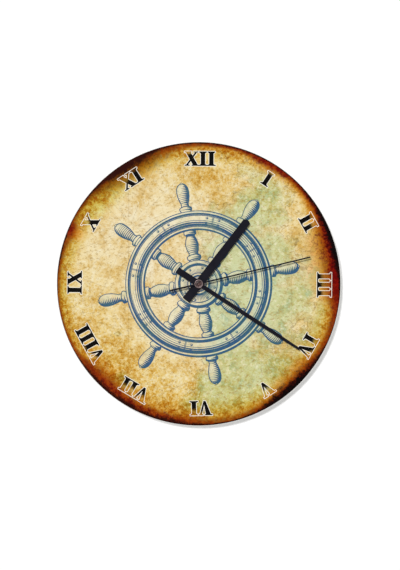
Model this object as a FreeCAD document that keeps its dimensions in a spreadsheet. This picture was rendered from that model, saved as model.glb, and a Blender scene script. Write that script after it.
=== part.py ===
import FreeCAD, Part
import math
import os
import Sketcher

# A round wall clock without a frame: a printed disc with three hands, carried by the threaded
# bush of a battery movement that hangs on the wall by the eye on its rear case.
#
# Every piece is drawn in the plane of the dial as it is seen from the front: x to the right,
# height upwards, and depth measured from the wall towards the viewer. The origin is where the
# hands' axis meets the wall. All lengths are millimetres, all angles degrees.

SIZES = {
    # Dial
    "dial_diameter": 300.0,
    "board_thickness": 3.0,
    "film_thickness": 0.2,
    "film_setback": 0.6,
    # Walls of the movement's case
    "case_wall": 1.2,
    "rear_wall": 1.3,
    "front_floor": 1.2,
    "case_corner_radius": 3.5,
    "chamber_drop": 10.9,
    "partition_wall": 1.0,
    "shell_split_depth": 11.0,
    # Snap arms of the front case and the ridges that they hold
    "snap_thickness": 1.0,
    "snap_width": 7.0,
    "snap_height": 15.0,
    "snap_reach": 4.5,
    "snap_frame": 1.3,
    "snap_clearance": 0.15,
    "ridge_thickness": 0.8,
    # Eye that the clock hangs by
    "ear_radius": 6.5,
    "ear_thickness": 2.6,
    "eye_radius": 2.75,
    "eye_rise": 5.0,
    # Battery, and the room at its two ends and around it
    "battery_diameter": 14.2,
    "battery_length": 50.2,
    "battery_tip_diameter": 5.4,
    "battery_tip_length": 1.3,
    "battery_edge": 0.6,
    "battery_clearance": 0.35,
    "battery_floor_gap": 0.1,
    "negative_room": 1.8,
    "positive_room": 1.6,
    # Contacts
    "strip_thickness": 0.3,
    "strip_width": 3.0,
    "strip_near_depth": 7.3,
    "contact_plate_height": 10.0,
    "contact_plate_width": 9.0,
    "contact_button_radius": 2.0,
    "contact_gap": 0.05,
    "contact_foot": 3.5,
    # Clearances of the movement
    "pivot_clearance": 0.05,
    "level_gap": 0.4,
    "end_play": 0.5,
    "overrun": 1.0,
    "boss_wall": 0.9,
    "boss_bore_depth": 0.9,
    # Wheels, from the rear to the front
    "wheel_thickness": 0.6,
    "second_boss_height": 1.2,
    "second_pinion_length": 2.2,
    "third_wheel_lift": 1.3,
    "pinion_overlap": 0.6,
    "rotor_collar": 0.4,
    "magnet_length": 2.4,
    "magnet_radius": 3.0,
    "magnet_play": 0.7,
    "cannon_length": 1.6,
    # Arbors
    "second_arbor_radius": 0.5,
    "train_arbor_radius": 0.4,
    "rotor_pivot_radius": 0.3,
    "rotor_core_radius": 0.7,
    "minute_post_radius": 0.7,
    "setting_shaft_radius": 1.0,
    "minute_tube_radius": 1.5,
    "hour_pipe_radius": 2.5,
    "bush_radius": 4.0,
    # Distances between meshing arbors, and the directions from one arbor to the next
    "third_reach": 9.18,
    "third_angle": 20.0,
    "intermediate_reach": 8.4,
    "intermediate_angle": 150.0,
    "rotor_reach": 7.0,
    "rotor_angle": 105.0,
    "minute_reach": 8.4,
    "minute_angle": 90.0,
    "setting_reach": 9.45,
    "setting_angle": 30.0,
    # Setting knob and its well
    "knob_radius": 5.0,
    "knob_length": 2.5,
    "knob_setback": 0.4,
    "knob_groove": 0.35,
    "knob_well_gap": 1.2,
    "well_wall": 0.9,
    "setting_pinion_length": 1.0,
    # Middle plate
    "plate_thickness": 0.8,
    "plate_margin": 1.0,
    "post_radius": 1.8,
    "peg_radius": 0.9,
    "peg_clearance": 0.05,
    "third_window": 0.7,
    "spacer_radius": 1.6,
    # Motor
    "stator_thickness": 0.8,
    "stator_lift": 0.8,
    "stator_reach": 5.0,
    "stator_left_reach": 12.0,
    "stator_right_reach": 14.0,
    "stator_limb": 4.2,
    "rotor_gap": 0.6,
    "coil_gap": 1.04,
    "coil_top_gap": 1.8,
    "core_height": 4.0,
    "bobbin_flange_radius": 4.0,
    "bobbin_flange_thickness": 0.8,
    "bobbin_wall": 0.6,
    "bobbin_gap": 0.1,
    "winding_radius": 3.5,
    "screw_head_radius": 1.5,
    "screw_head_height": 1.0,
    "screw_shank_radius": 0.8,
    "screw_length": 3.4,
    "screw_slot": 0.4,
    # Circuit board and what is on it
    "circuit_right_gap": 1.3,
    "circuit_width": 16.0,
    "circuit_height": 8.8,
    "circuit_thickness": 1.0,
    "circuit_top_gap": 0.5,
    "circuit_post_radius": 1.5,
    "chip_radius": 2.4,
    "chip_height": 0.9,
    "crystal_radius": 1.0,
    "crystal_length": 6.0,
    # Bush, washers and nut that clamp the dial
    "bush_flange_radius": 5.6,
    "bush_flange_thickness": 1.1,
    "bush_proud": 0.6,
    "bush_chamfer": 0.4,
    "bush_fit": 0.2,
    "rubber_radius": 9.0,
    "rubber_thickness": 1.0,
    "washer_radius": 7.3,
    "washer_thickness": 0.6,
    "nut_half_flats": 5.5,
    "nut_thickness": 2.0,
    # Hands: the first three are the time that the clock shows at rest
    "hour_hand_angle": 37.7,
    "minute_hand_angle": 123.0,
    "second_hand_angle": 76.5,
    "hand_thickness": 0.4,
    "hand_gap": 0.5,
    "hand_proud": 0.1,
    "collet_height": 1.0,
    "collet_wall": 0.6,
    "collet_flange": 0.7,
    "hour_hand_length": 84.6,
    "hour_hand_tail": 21.9,
    "hour_hand_width": 9.0,
    "hour_hand_tip_width": 8.3,
    "hour_hand_tip_rise": 2.3,
    "minute_hand_length": 126.4,
    "minute_hand_tail": 26.8,
    "minute_hand_width": 4.3,
    "minute_hand_tip_width": 2.5,
    "minute_hand_tail_width": 6.7,
    "minute_hub_radius": 4.2,
    "second_hand_length": 120.4,
    "second_hand_tail": 31.2,
    "second_hand_width": 1.5,
    "second_hand_tail_width": 2.0,
    "second_hand_thickness": 0.3,
    "second_hub_radius": 3.0,
    "second_tube_radius": 1.2,
    "cap_radius": 4.65,
    "cap_rim_height": 0.5,
    "cap_rise": 1.1,
}

# Teeth of each wheel and pinion, in the order in which they drive one another
ROTOR_PINION_TEETH = 8
INTERMEDIATE_WHEEL_TEETH = 48
INTERMEDIATE_PINION_TEETH = 8
SECOND_WHEEL_TEETH = 40
SECOND_PINION_TEETH = 8
THIRD_WHEEL_TEETH = 60
THIRD_PINION_TEETH = 8
CENTRE_WHEEL_TEETH = 64
CANNON_PINION_TEETH = 12
MINUTE_WHEEL_TEETH = 36
MINUTE_PINION_TEETH = 10
HOUR_WHEEL_TEETH = 40
SETTING_PINION_TEETH = 18
KNOB_GROOVES = 30
NUT_SIDES = 6

# The form of a tooth, in shares of the module and of the pitch
ADDENDUM_SHARE = 0.8
DEDENDUM_SHARE = 1.25
TOOTH_SHARE = 0.42
TOOTH_TIP_SHARE = 0.5

doc = FreeCAD.newDocument("WallClock")
sheet = doc.addObject("Spreadsheet::Sheet", "Sizes")
for row, (alias, number) in enumerate(SIZES.items(), start=1):
    sheet.set(f"A{row}", alias)
    sheet.set(f"B{row}", str(number))
    sheet.setAlias(f"B{row}", alias)
doc.recompute()

pieces = []


class Size:
    """A length or an angle: its number now, and the expression that the document keeps for it."""

    def __init__(self, number, text):
        self.number = float(number)
        self.text = text

    def __add__(self, other):
        other = as_size(other)
        return Size(self.number + other.number, f"({self.text} + {other.text})")

    def __sub__(self, other):
        other = as_size(other)
        return Size(self.number - other.number, f"({self.text} - {other.text})")

    def __mul__(self, other):
        other = as_size(other)
        return Size(self.number * other.number, f"({self.text} * {other.text})")

    def __truediv__(self, other):
        other = as_size(other)
        return Size(self.number / other.number, f"({self.text} / {other.text})")

    def __neg__(self):
        return Size(-self.number, f"(-1 * {self.text})")


def as_size(value):
    """A plain number, such as a count or zero, as a Size."""
    if isinstance(value, Size):
        return value
    return Size(value, str(value))


def size(alias):
    """The sheet's value under this name."""
    return Size(sheet.get(alias), f"Sizes.{alias}")


def cosine(angle):
    return Size(math.cos(math.radians(angle.number)), f"cos({angle.text})")


def sine(angle):
    return Size(math.sin(math.radians(angle.number)), f"sin({angle.text})")


def from_arbor(arbor, reach, angle):
    """The place at this reach and in this direction from an arbor."""
    return arbor[0] + reach * cosine(angle), arbor[1] + reach * sine(angle)


ZERO = as_size(0)
CENTRE = (ZERO, ZERO)


# Helpers that draw and bind

def bind(item, values):
    """Bind each property of an object to a Size."""
    for path, value in values.items():
        item.setExpression(path, as_size(value).text)


def slab(name, low, high):
    """A block between two corners, each given as x, height and depth."""
    block = doc.addObject("Part::Box", name)
    sides = [as_size(far) - near for near, far in zip(low, high)]
    bind(block, dict(zip(("Length", "Width", "Height"), sides)))
    bind(block, dict(zip(("Placement.Base.x", "Placement.Base.y", "Placement.Base.z"), low)))
    return block


def rod(name, centre, near, far, radius):
    """A round bar square to the dial, between two depths."""
    bar = doc.addObject("Part::Cylinder", name)
    bind(bar, {"Radius": radius, "Height": far - near, "Placement.Base.x": centre[0],
               "Placement.Base.y": centre[1], "Placement.Base.z": near})
    return bar


def level_rod(name, start, length, radius):
    """A round bar along x that starts at a place given as x, height and depth."""
    bar = doc.addObject("Part::Cylinder", name)
    quarter_turn = FreeCAD.Rotation(FreeCAD.Vector(0, 1, 0), 90)
    bar.Placement = FreeCAD.Placement(FreeCAD.Vector(), quarter_turn)
    bind(bar, {"Radius": radius, "Height": length, "Placement.Base.x": start[0],
               "Placement.Base.y": start[1], "Placement.Base.z": start[2]})
    return bar


def joined(name, parts):
    """Several shapes as one."""
    fusion = doc.addObject("Part::MultiFuse", name)
    fusion.Shapes = parts
    fusion.Refine = True
    return fusion


def without(name, base, tools):
    """A shape with others taken out of it."""
    cutting = doc.addObject("Part::Cut", name)
    cutting.Base = base
    cutting.Tool = tools[0] if len(tools) == 1 else joined(name + "_cuts", tools)
    cutting.Refine = True
    return cutting


def group(name, parts):
    """One piece that holds separate solids, each where it was drawn."""
    bundle = doc.addObject("Part::Compound", name)
    bundle.Links = parts
    return bundle


def stand_up(item, place=CENTRE):
    """Turn a shape from the drawing plane into the dial's plane, at its arbor."""
    upright = FreeCAD.Rotation(FreeCAD.Vector(1, 0, 0), 90)
    item.Placement = FreeCAD.Placement(FreeCAD.Vector(), upright)
    bind(item, {"Placement.Base.x": place[0], "Placement.Base.z": place[1]})


def keep(item, label, place=CENTRE):
    """Name a finished piece and put it in its place."""
    item.Label = label
    stand_up(item, place)
    pieces.append(item)
    return item


def new_body(label):
    return doc.addObject("PartDesign::Body", label)


def sketch_on(body, role, name, lift=ZERO, turn=ZERO):
    """A sketch on one of the body's own planes, lifted along its normal and turned in it."""
    plane = [feature for feature in body.Origin.OriginFeatures if feature.Role == role][0]
    sketch = body.newObject("Sketcher::SketchObject", name)
    sketch.AttachmentSupport = [(plane, "")]
    sketch.MapMode = "FlatFace"
    bind(sketch, {".AttachmentOffset.Base.z": lift, ".AttachmentOffset.Rotation.Angle": turn})
    return sketch


def hold_point(sketch, curve, end, point):
    """Hold a curve's end at a point, on the sketch's axis where its distance is zero."""
    for kind, axis, value in (("DistanceX", -2, point[0]), ("DistanceY", -1, point[1])):
        if value is ZERO:
            sketch.addConstraint(Sketcher.Constraint("PointOnObject", curve, end, axis))
            continue
        index = sketch.addConstraint(
            Sketcher.Constraint(kind, -1, 1, curve, end, value.number))
        bind(sketch, {f"Constraints[{index}]": value})


def draw_circle(sketch, radius, centre=CENTRE):
    middle = FreeCAD.Vector(centre[0].number, centre[1].number, 0)
    circle = Part.Circle(middle, FreeCAD.Vector(0, 0, 1), radius.number)
    curve = sketch.addGeometry(circle, False)
    hold_point(sketch, curve, 3, centre)
    index = sketch.addConstraint(Sketcher.Constraint("Radius", curve, radius.number))
    bind(sketch, {f"Constraints[{index}]": radius})


def draw_outline(sketch, corners, bows=None):
    """A closed outline of straight sides; bows gives the rise of a side that is an arc."""
    bows = bows or {}
    points = [FreeCAD.Vector(x.number, y.number, 0) for x, y in corners]
    ends = []
    for index, start in enumerate(points):
        finish = points[(index + 1) % len(points)]
        if index not in bows:
            curve = sketch.addGeometry(Part.LineSegment(start, finish), False)
            ends.append((curve, 1, 2))
            continue
        rise = bows[index]
        along = finish - start
        outward = FreeCAD.Vector(-along.y, along.x, 0).normalize()
        middle = (start + finish) * 0.5 + outward * rise.number
        bow = Part.ArcOfCircle(start, middle, finish)
        curve = sketch.addGeometry(bow, False)
        swapped = bow.StartPoint.distanceToPoint(start) > bow.EndPoint.distanceToPoint(start)
        ends.append((curve, 2, 1) if swapped else (curve, 1, 2))
        half_chord = (corners[(index + 1) % len(points)][0] - corners[index][0]) / 2
        bow_radius = (half_chord * half_chord + rise * rise) / (rise * 2)
        held = sketch.addConstraint(Sketcher.Constraint("Radius", curve, bow.Radius))
        bind(sketch, {f"Constraints[{held}]": bow_radius})
    for index, (curve, start_end, finish_end) in enumerate(ends):
        following = ends[(index + 1) % len(ends)]
        sketch.addConstraint(
            Sketcher.Constraint("Coincident", curve, finish_end, following[0], following[1]))
        hold_point(sketch, curve, start_end, corners[index])


def pad(body, sketch, name, length):
    feature = body.newObject("PartDesign::Pad", name)
    feature.Profile = sketch
    bind(feature, {"Length": length})
    return feature


def flat_ring(label, near, far, outer, inner):
    """A washer, or any disc with a round hole, between two depths."""
    body = new_body(label)
    sketch = sketch_on(body, "XY_Plane", label + "_outline", near)
    draw_circle(sketch, outer)
    draw_circle(sketch, inner)
    pad(body, sketch, label + "_pad", far - near)
    return keep(body, label)


def turned(label, outline):
    """A piece of round section: its outline is given as radius and depth."""
    body = new_body(label)
    sketch = sketch_on(body, "XZ_Plane", label + "_outline")
    draw_outline(sketch, outline)
    turning = body.newObject("PartDesign::Revolution", label + "_turning")
    turning.Profile = sketch
    turning.ReferenceAxis = (sketch, ["V_Axis"])
    turning.Angle = 360
    return keep(body, label)


# Helpers for toothed wheels

def toothed(teeth, module, near, far, phase):
    """A solid wheel between two depths, with the middle of one tooth in the direction phase."""
    pitch_radius = module.number * teeth / 2
    tip_radius = pitch_radius + module.number * ADDENDUM_SHARE
    root_radius = pitch_radius - module.number * DEDENDUM_SHARE
    half_tooth = math.pi / teeth * TOOTH_SHARE
    half_tip = half_tooth * TOOTH_TIP_SHARE * pitch_radius / tip_radius
    half_root = half_tooth * pitch_radius / root_radius
    profile = ((root_radius, -half_root), (pitch_radius, -half_tooth), (tip_radius, -half_tip),
               (tip_radius, half_tip), (pitch_radius, half_tooth), (root_radius, half_root))
    corners = []
    for tooth in range(teeth):
        middle = phase + 2 * math.pi * tooth / teeth
        for radius, lean in profile:
            corners.append(FreeCAD.Vector(radius * math.cos(middle + lean),
                                          radius * math.sin(middle + lean), near.number))
    outline = Part.makePolygon(corners + corners[:1])
    return Part.Face(outline).extrude(FreeCAD.Vector(0, 0, (far - near).number))


def round_bar(near, far, radius):
    """A round solid on the drawing's axis between two depths."""
    return Part.makeCylinder(radius.number, (far - near).number,
                             FreeCAD.Vector(0, 0, near.number))


def meshing_phase(phase, teeth, driven_teeth, angle):
    """The phase of a wheel that meshes, in the direction angle, with one of a known phase."""
    direction = math.radians(angle)
    turn = (phase - direction) * teeth / driven_teeth
    return direction + math.pi + math.pi / driven_teeth - turn


def module_of(reach, teeth, driven_teeth):
    return reach * 2 / (teeth + driven_teeth)


def wheel_piece(label, solids, bore=None, place=CENTRE):
    """A moulded piece of several coaxial solids, with a bore if it turns on a pin."""
    shape = solids[0].fuse(solids[1:]).removeSplitter()
    if bore is not None:
        deep = Part.makeCylinder(bore.number, shape.BoundBox.ZLength + 2 * overrun.number,
                                 FreeCAD.Vector(0, 0, shape.BoundBox.ZMin - overrun.number))
        shape = shape.cut(deep)
    item = doc.addObject("Part::Feature", label)
    item.Shape = shape
    return keep(item, label, place)


# Places of the arbors, seen from the front

third_place = from_arbor(CENTRE, size("third_reach"), size("third_angle"))
intermediate_place = from_arbor(CENTRE, size("intermediate_reach"), size("intermediate_angle"))
rotor_place = from_arbor(intermediate_place, size("rotor_reach"), size("rotor_angle"))
minute_place = from_arbor(CENTRE, size("minute_reach"), size("minute_angle"))
setting_place = from_arbor(minute_place, size("setting_reach"), size("setting_angle"))

# Depths inside the movement, from the wall towards the dial

overrun = size("overrun")
level_gap = size("level_gap")
wheel = size("wheel_thickness")
pinion_overlap = size("pinion_overlap")

second_wheel_near = size("rear_wall") + size("second_boss_height") + size("end_play")
second_wheel_far = second_wheel_near + wheel
second_pinion_far = second_wheel_far + size("second_pinion_length")
third_wheel_near = second_wheel_far + size("third_wheel_lift")
third_wheel_far = third_wheel_near + wheel
intermediate_pinion_near = second_wheel_near - level_gap
intermediate_wheel_near = second_wheel_far + pinion_overlap
intermediate_wheel_far = intermediate_wheel_near + wheel
rotor_pinion_near = intermediate_wheel_near - pinion_overlap
rotor_pinion_far = intermediate_wheel_far + pinion_overlap
magnet_near = rotor_pinion_far + size("rotor_collar")
magnet_far = magnet_near + size("magnet_length")
plate_near = magnet_far + size("magnet_play")
plate_far = plate_near + size("plate_thickness")
centre_wheel_near = plate_far + level_gap
centre_wheel_far = centre_wheel_near + wheel
cannon_far = centre_wheel_far + size("cannon_length")
minute_wheel_near = centre_wheel_far + level_gap
minute_wheel_far = minute_wheel_near + wheel
hour_wheel_near = cannon_far + level_gap
hour_wheel_far = hour_wheel_near + wheel
flange_near = hour_wheel_far + level_gap
floor_near = flange_near + size("bush_flange_thickness")
case_front = floor_near + size("front_floor")

# Depths in front of the case

rubber_far = case_front + size("rubber_thickness")
board_far = rubber_far + size("board_thickness")
film_far = board_far + size("film_thickness")
washer_far = film_far + size("washer_thickness")
nut_far = washer_far + size("nut_thickness")
bush_end = nut_far + size("bush_proud")
hour_collet_near = bush_end + size("hand_gap")
hour_hand_near = hour_collet_near + size("collet_height")
hour_hand_far = hour_hand_near + size("hand_thickness")
pipe_end = hour_hand_far + size("hand_proud")
minute_collet_near = pipe_end + size("hand_gap")
minute_hand_near = minute_collet_near + size("collet_height")
minute_hand_far = minute_hand_near + size("hand_thickness")
tube_end = minute_hand_far + size("hand_proud")
second_tube_near = tube_end + size("hand_gap")
second_hand_near = second_tube_near + size("collet_height")
second_hand_far = second_hand_near + size("second_hand_thickness")

# Inner walls of the case

inner_half_width = (size("battery_length") + size("negative_room") + size("positive_room")) / 2
outer_half_width = inner_half_width + size("case_wall")
stator_top = rotor_place[1] + size("stator_reach")
coil_height = stator_top + size("coil_gap") + size("bobbin_flange_radius")
chamber_top = coil_height + size("bobbin_flange_radius") + size("coil_top_gap")
chamber_bottom = -size("chamber_drop")
bay_top = chamber_bottom - size("partition_wall")
bay_bottom = bay_top - size("battery_diameter") - size("battery_clearance") * 2
case_top = chamber_top + size("case_wall")
case_bottom = bay_bottom - size("case_wall")
split_depth = size("shell_split_depth")

# Holes and fits

pivot_clearance = size("pivot_clearance")
second_bore = size("second_arbor_radius") + pivot_clearance
train_bore = size("train_arbor_radius") + pivot_clearance
rotor_bore = size("rotor_pivot_radius") + pivot_clearance
setting_bore = size("setting_shaft_radius") + pivot_clearance
tube_bore = size("minute_tube_radius") + pivot_clearance
pipe_bore = size("hour_pipe_radius") + pivot_clearance


def dial():
    """The printed film on its board, with the rubber washer, the washer and the nut."""
    hole = size("bush_radius") + size("bush_fit")
    board_radius = size("dial_diameter") / 2
    flat_ring("dial_board", rubber_far, board_far, board_radius, hole)
    flat_ring("printed_face", board_far, film_far, board_radius - size("film_setback"), hole)
    flat_ring("rubber_washer", case_front, rubber_far, size("rubber_radius"), hole)
    flat_ring("dial_washer", film_far, washer_far, size("washer_radius"), hole)
    fixing_nut()


def fixing_nut():
    """The six-sided nut on the bush."""
    body = new_body("fixing_nut")
    sketch = sketch_on(body, "XY_Plane", "nut_outline", washer_far)
    half_side = as_size(180 / NUT_SIDES)
    corner_radius = size("nut_half_flats") / cosine(half_side)
    corners = []
    for index in range(NUT_SIDES):
        angle = half_side * (2 * index + 1)
        corner = (corner_radius * cosine(angle), corner_radius * sine(angle))
        corners.append(corner if index % 3 != 1 else (ZERO, corner[1]))
    draw_outline(sketch, corners)
    draw_circle(sketch, size("bush_radius"))
    pad(body, sketch, "nut_pad", size("nut_thickness"))
    keep(body, "fixing_nut")


def centre_bush():
    """The threaded bush that stands on the front case's floor and carries the dial."""
    shank = size("bush_radius")
    flange = size("bush_flange_radius")
    chamfer = size("bush_chamfer")
    turned("centre_bush", [
        (pipe_bore, flange_near), (flange, flange_near), (flange, floor_near),
        (shank, floor_near), (shank, bush_end - chamfer), (shank - chamfer, bush_end),
        (pipe_bore, bush_end)])


def rounded_block(name, low, high, corner_radius):
    """A block with its four edges square to the dial rounded."""
    inner_low = (low[0] + corner_radius, low[1] + corner_radius)
    inner_high = (high[0] - corner_radius, high[1] - corner_radius)
    parts = [slab(name + "_wide", (low[0], inner_low[1], low[2]), (high[0], inner_high[1], high[2])),
             slab(name + "_tall", (inner_low[0], low[1], low[2]), (inner_high[0], high[1], high[2]))]
    for side, x in (("left", inner_low[0]), ("right", inner_high[0])):
        for level, height in (("low", inner_low[1]), ("high", inner_high[1])):
            corner = f"{name}_{side}_{level}"
            parts.append(rod(corner, (x, height), low[2], high[2], corner_radius))
    return joined(name, parts)


def post_places():
    """Where the four posts under the middle plate stand."""
    left, bottom, right, top = plate_edges()
    inset = size("post_radius") + size("plate_margin")
    return {"low_left": (left + inset, bottom + inset), "low_right": (right - inset, bottom + inset),
            "high_left": (left + inset, top - inset), "high_right": (right - inset, top - inset)}


def plate_edges():
    """Left, bottom, right and top of the middle plate."""
    left = stator_left() - size("plate_margin")
    bottom = chamber_bottom + size("plate_margin")
    right = setting_place[0] + size("setting_reach")
    top = coil_place()[1] - size("bobbin_flange_radius") - size("plate_margin") / 2
    return left, bottom, right, top


def stator_left():
    return rotor_place[0] - size("stator_left_reach")


def stator_right():
    return rotor_place[0] + size("stator_right_reach")


def coil_place():
    """Height and depth of the coil's axis, given with the x of its middle."""
    middle = (stator_left() + stator_right()) / 2
    return middle, coil_height, stator_near() - size("stator_thickness") / 2


def stator_near():
    return magnet_near + size("stator_lift")


def stator_far():
    return stator_near() + size("stator_thickness")


def limb_places():
    """Where the two screws go through the core and the stator's limbs."""
    half_limb = size("stator_limb") / 2
    return {"left": (stator_left() + half_limb, coil_height),
            "right": (stator_right() - half_limb, coil_height)}


def spacer_places():
    """Where the middle plate's two spacers carry the stator."""
    half_limb = size("stator_limb") / 2
    height = rotor_place[1] - size("stator_limb") / 2
    return {"left": (stator_left() + half_limb, height), "right": (stator_right() - half_limb, height)}


def circuit_edges():
    """Left, bottom, right and top of the circuit board."""
    right = inner_half_width - size("circuit_right_gap")
    top = chamber_top - size("circuit_top_gap")
    return right - size("circuit_width"), top - size("circuit_height"), right, top


def circuit_post_places():
    left, bottom, right, top = circuit_edges()
    inset = size("circuit_post_radius")
    return {"low": (left + inset, bottom + inset),
            "high": ((left + right) / 2, top - inset)}


def circuit_near():
    return circuit_far() - size("circuit_thickness")


def circuit_far():
    """The circuit board's front face, which the contacts' feet touch."""
    return size("strip_near_depth") - size("strip_thickness")


def snap_places():
    """The heights of the two snaps on each side of the case."""
    return {"high": size("snap_height"), "low": -size("snap_height")}


def ridge_depths():
    middle = split_depth - size("snap_reach") + size("snap_frame") * 2
    return middle - size("snap_frame"), middle


def front_case():
    """The shell next to the dial, with its snap arms, posts and pivots."""
    outside = rounded_block("front_case_outside", (-outer_half_width, case_bottom, split_depth),
                            (outer_half_width, case_top, case_front), size("case_corner_radius"))
    inside = slab("front_case_inside", (-inner_half_width, bay_bottom, split_depth - overrun),
                  (inner_half_width, chamber_top, floor_near))
    parts = [without("front_case_shell", outside, [inside])]
    cuts = [rod("front_case_bush_hole", CENTRE, floor_near - overrun, case_front + overrun,
                size("bush_radius"))]
    for name, place in post_places().items():
        parts.append(rod("plate_post_" + name, place, plate_far, floor_near, size("post_radius")))
        parts.append(rod("plate_peg_" + name, place, plate_near - size("peg_radius") / 2, floor_near,
                         size("peg_radius")))
    for name, place in limb_places().items():
        parts.append(rod("limb_post_" + name, place, stator_far(), floor_near, size("post_radius")))
        cuts.append(rod("limb_post_hole_" + name, place, stator_far() - overrun,
                        stator_near() - size("stator_thickness") + size("screw_length"),
                        size("screw_shank_radius")))
    for name, place in circuit_post_places().items():
        parts.append(rod("circuit_post_" + name, place, circuit_far(), floor_near,
                         size("circuit_post_radius")))
    parts.append(rod("minute_post", minute_place, centre_wheel_far + level_gap / 2, floor_near,
                     size("minute_post_radius")))
    for name, place, near, bore in (("third", third_place, third_front_boss(), train_bore),
                                    ("setting", setting_place, setting_front_boss(), setting_bore)):
        parts.append(rod(f"{name}_front_boss", place, near, floor_near, bore + size("boss_wall")))
        cuts.append(rod(f"{name}_front_bore", place, near - overrun, floor_near - level_gap, bore))
    for side, sign in (("left", -1), ("right", 1)):
        for level, height in snap_places().items():
            arm, window = snap_arm(f"{side}_{level}", sign, height)
            parts.append(arm)
            cuts.append(window)
    keep(without("front_case", joined("front_case_solid", parts), cuts), "front_case")


def third_front_boss():
    return centre_wheel_far + size("end_play") * 2


def setting_front_boss():
    return minute_wheel_far + size("pinion_overlap")


def snap_arm(name, sign, height):
    """An arm outside the case's side, and the window in it for the rear case's ridge."""
    near_x = outer_half_width
    far_x = outer_half_width + size("snap_thickness")
    half = size("snap_width") / 2
    ridge_near, ridge_far = ridge_depths()
    clearance = size("snap_clearance")
    frame = size("snap_frame")
    left, right = (near_x, far_x) if sign > 0 else (-far_x, -near_x)
    arm = slab("snap_arm_" + name, (left, height - half, ridge_near - clearance - frame),
               (right, height + half, case_front))
    window = slab("snap_window_" + name,
                  (left, height - half + frame, ridge_near - clearance),
                  (right, height + half - frame, ridge_far + clearance))
    return arm, window


def snap_ridge(name, sign, height):
    """The ridge on the rear case's side that an arm holds."""
    near_x = outer_half_width
    far_x = outer_half_width + size("ridge_thickness")
    half = size("snap_width") / 2 - size("snap_frame") - size("snap_clearance")
    ridge_near, ridge_far = ridge_depths()
    left, right = (near_x, far_x) if sign > 0 else (-far_x, -near_x)
    return slab("snap_ridge_" + name, (left, height - half, ridge_near),
                (right, height + half, ridge_far))


def rear_case():
    """The shell at the wall: hanging eye, open battery bay, knob well and rear pivots."""
    rear = ZERO
    outside = rounded_block("rear_case_outside", (-outer_half_width, case_bottom, rear),
                            (outer_half_width, case_top, split_depth), size("case_corner_radius"))
    chamber = slab("rear_case_chamber", (-inner_half_width, chamber_bottom, size("rear_wall")),
                   (inner_half_width, chamber_top, split_depth + overrun))
    bay = slab("rear_case_bay", (-inner_half_width, bay_bottom, -overrun),
               (inner_half_width, bay_top, split_depth + overrun))
    parts = [without("rear_case_shell", outside, [chamber, bay])]
    parts.append(slab("partition", (-inner_half_width, bay_top, rear),
                      (inner_half_width, chamber_bottom, floor_near)))
    eye_place = (ZERO, case_top + size("eye_rise"))
    parts.append(rod("ear_round", eye_place, rear, size("ear_thickness"), size("ear_radius")))
    parts.append(slab("ear_root", (-size("ear_radius"), chamber_top, rear),
                      (size("ear_radius"), eye_place[1], size("ear_thickness"))))
    well_radius = size("knob_radius") + size("knob_well_gap")
    well_floor = size("knob_setback") + size("knob_length") + level_gap
    parts.append(rod("well_outside", setting_place, rear, well_floor + size("well_wall"),
                     well_radius + size("well_wall")))
    cuts = [rod("eye", eye_place, -overrun, size("ear_thickness") + overrun, size("eye_radius")),
            rod("well", setting_place, -overrun, well_floor, well_radius),
            rod("well_bore", setting_place, rear, well_floor + size("well_wall") + overrun,
                setting_bore)]
    for name, place, far, bore in (("second", CENTRE, second_rear_boss(), second_bore),
                                   ("third", third_place, third_rear_boss(), train_bore),
                                   ("intermediate", intermediate_place, intermediate_rear_boss(),
                                    train_bore),
                                   ("rotor", rotor_place, rotor_rear_boss(), rotor_bore)):
        parts.append(rod(f"{name}_rear_boss", place, rear, far, bore + size("boss_wall")))
        cuts.append(rod(f"{name}_rear_bore", place, far - size("boss_bore_depth"), far + overrun,
                        bore))
    strip_room = size("strip_thickness") * 2
    for side, left, right in (("left", -inner_half_width, strip_room - inner_half_width),
                              ("right", inner_half_width - strip_room, inner_half_width)):
        cuts.append(slab(f"strip_notch_{side}",
                         (left, bay_top - overrun, size("strip_near_depth") - size("strip_thickness")),
                         (right, chamber_bottom + overrun,
                          size("strip_near_depth") + size("strip_width") + size("strip_thickness"))))
    for side, sign in (("left", -1), ("right", 1)):
        for level, height in snap_places().items():
            parts.append(snap_ridge(f"{side}_{level}", sign, height))
    keep(without("rear_case", joined("rear_case_solid", parts), cuts), "rear_case")


def second_rear_boss():
    return second_wheel_near - size("end_play")


def third_rear_boss():
    return third_wheel_near - size("end_play")


def intermediate_rear_boss():
    return intermediate_pinion_near - level_gap


def rotor_rear_boss():
    return rotor_pinion_near - level_gap


def arbor_end(boss_far):
    """Where an arbor ends inside the bore of a rear boss."""
    return boss_far - size("boss_bore_depth") + level_gap / 2


def middle_plate():
    """The plate between the motor and the dial train, with the stator's two spacers."""
    left, bottom, right, top = plate_edges()
    parts = [slab("plate_sheet", (left, bottom, plate_near), (right, top, plate_far))]
    cuts = []
    holes = {"second": (CENTRE, second_bore), "intermediate": (intermediate_place, train_bore),
             "rotor": (rotor_place, rotor_bore),
             "setting": (setting_place, setting_bore + size("third_window")),
             "third": (third_place, third_pinion_tip() + size("third_window"))}
    for name, place in post_places().items():
        holes["peg_" + name] = (place, size("peg_radius") + size("peg_clearance"))
    for name, (place, radius) in holes.items():
        cuts.append(rod("plate_hole_" + name, place, plate_near - overrun, plate_far + overrun,
                        radius))
    for name, place in spacer_places().items():
        parts.append(rod("spacer_" + name, place, stator_far(), plate_far, size("spacer_radius")))
        parts.append(rod("spacer_peg_" + name, place, stator_near() - level_gap, plate_far,
                         size("spacer_radius") / 2))
    keep(without("middle_plate", joined("middle_plate_solid", parts), cuts), "middle_plate")


def third_pinion_tip():
    module = module_of(size("third_reach"), THIRD_PINION_TEETH, CENTRE_WHEEL_TEETH)
    return module * (THIRD_PINION_TEETH / 2 + ADDENDUM_SHARE)


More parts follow.
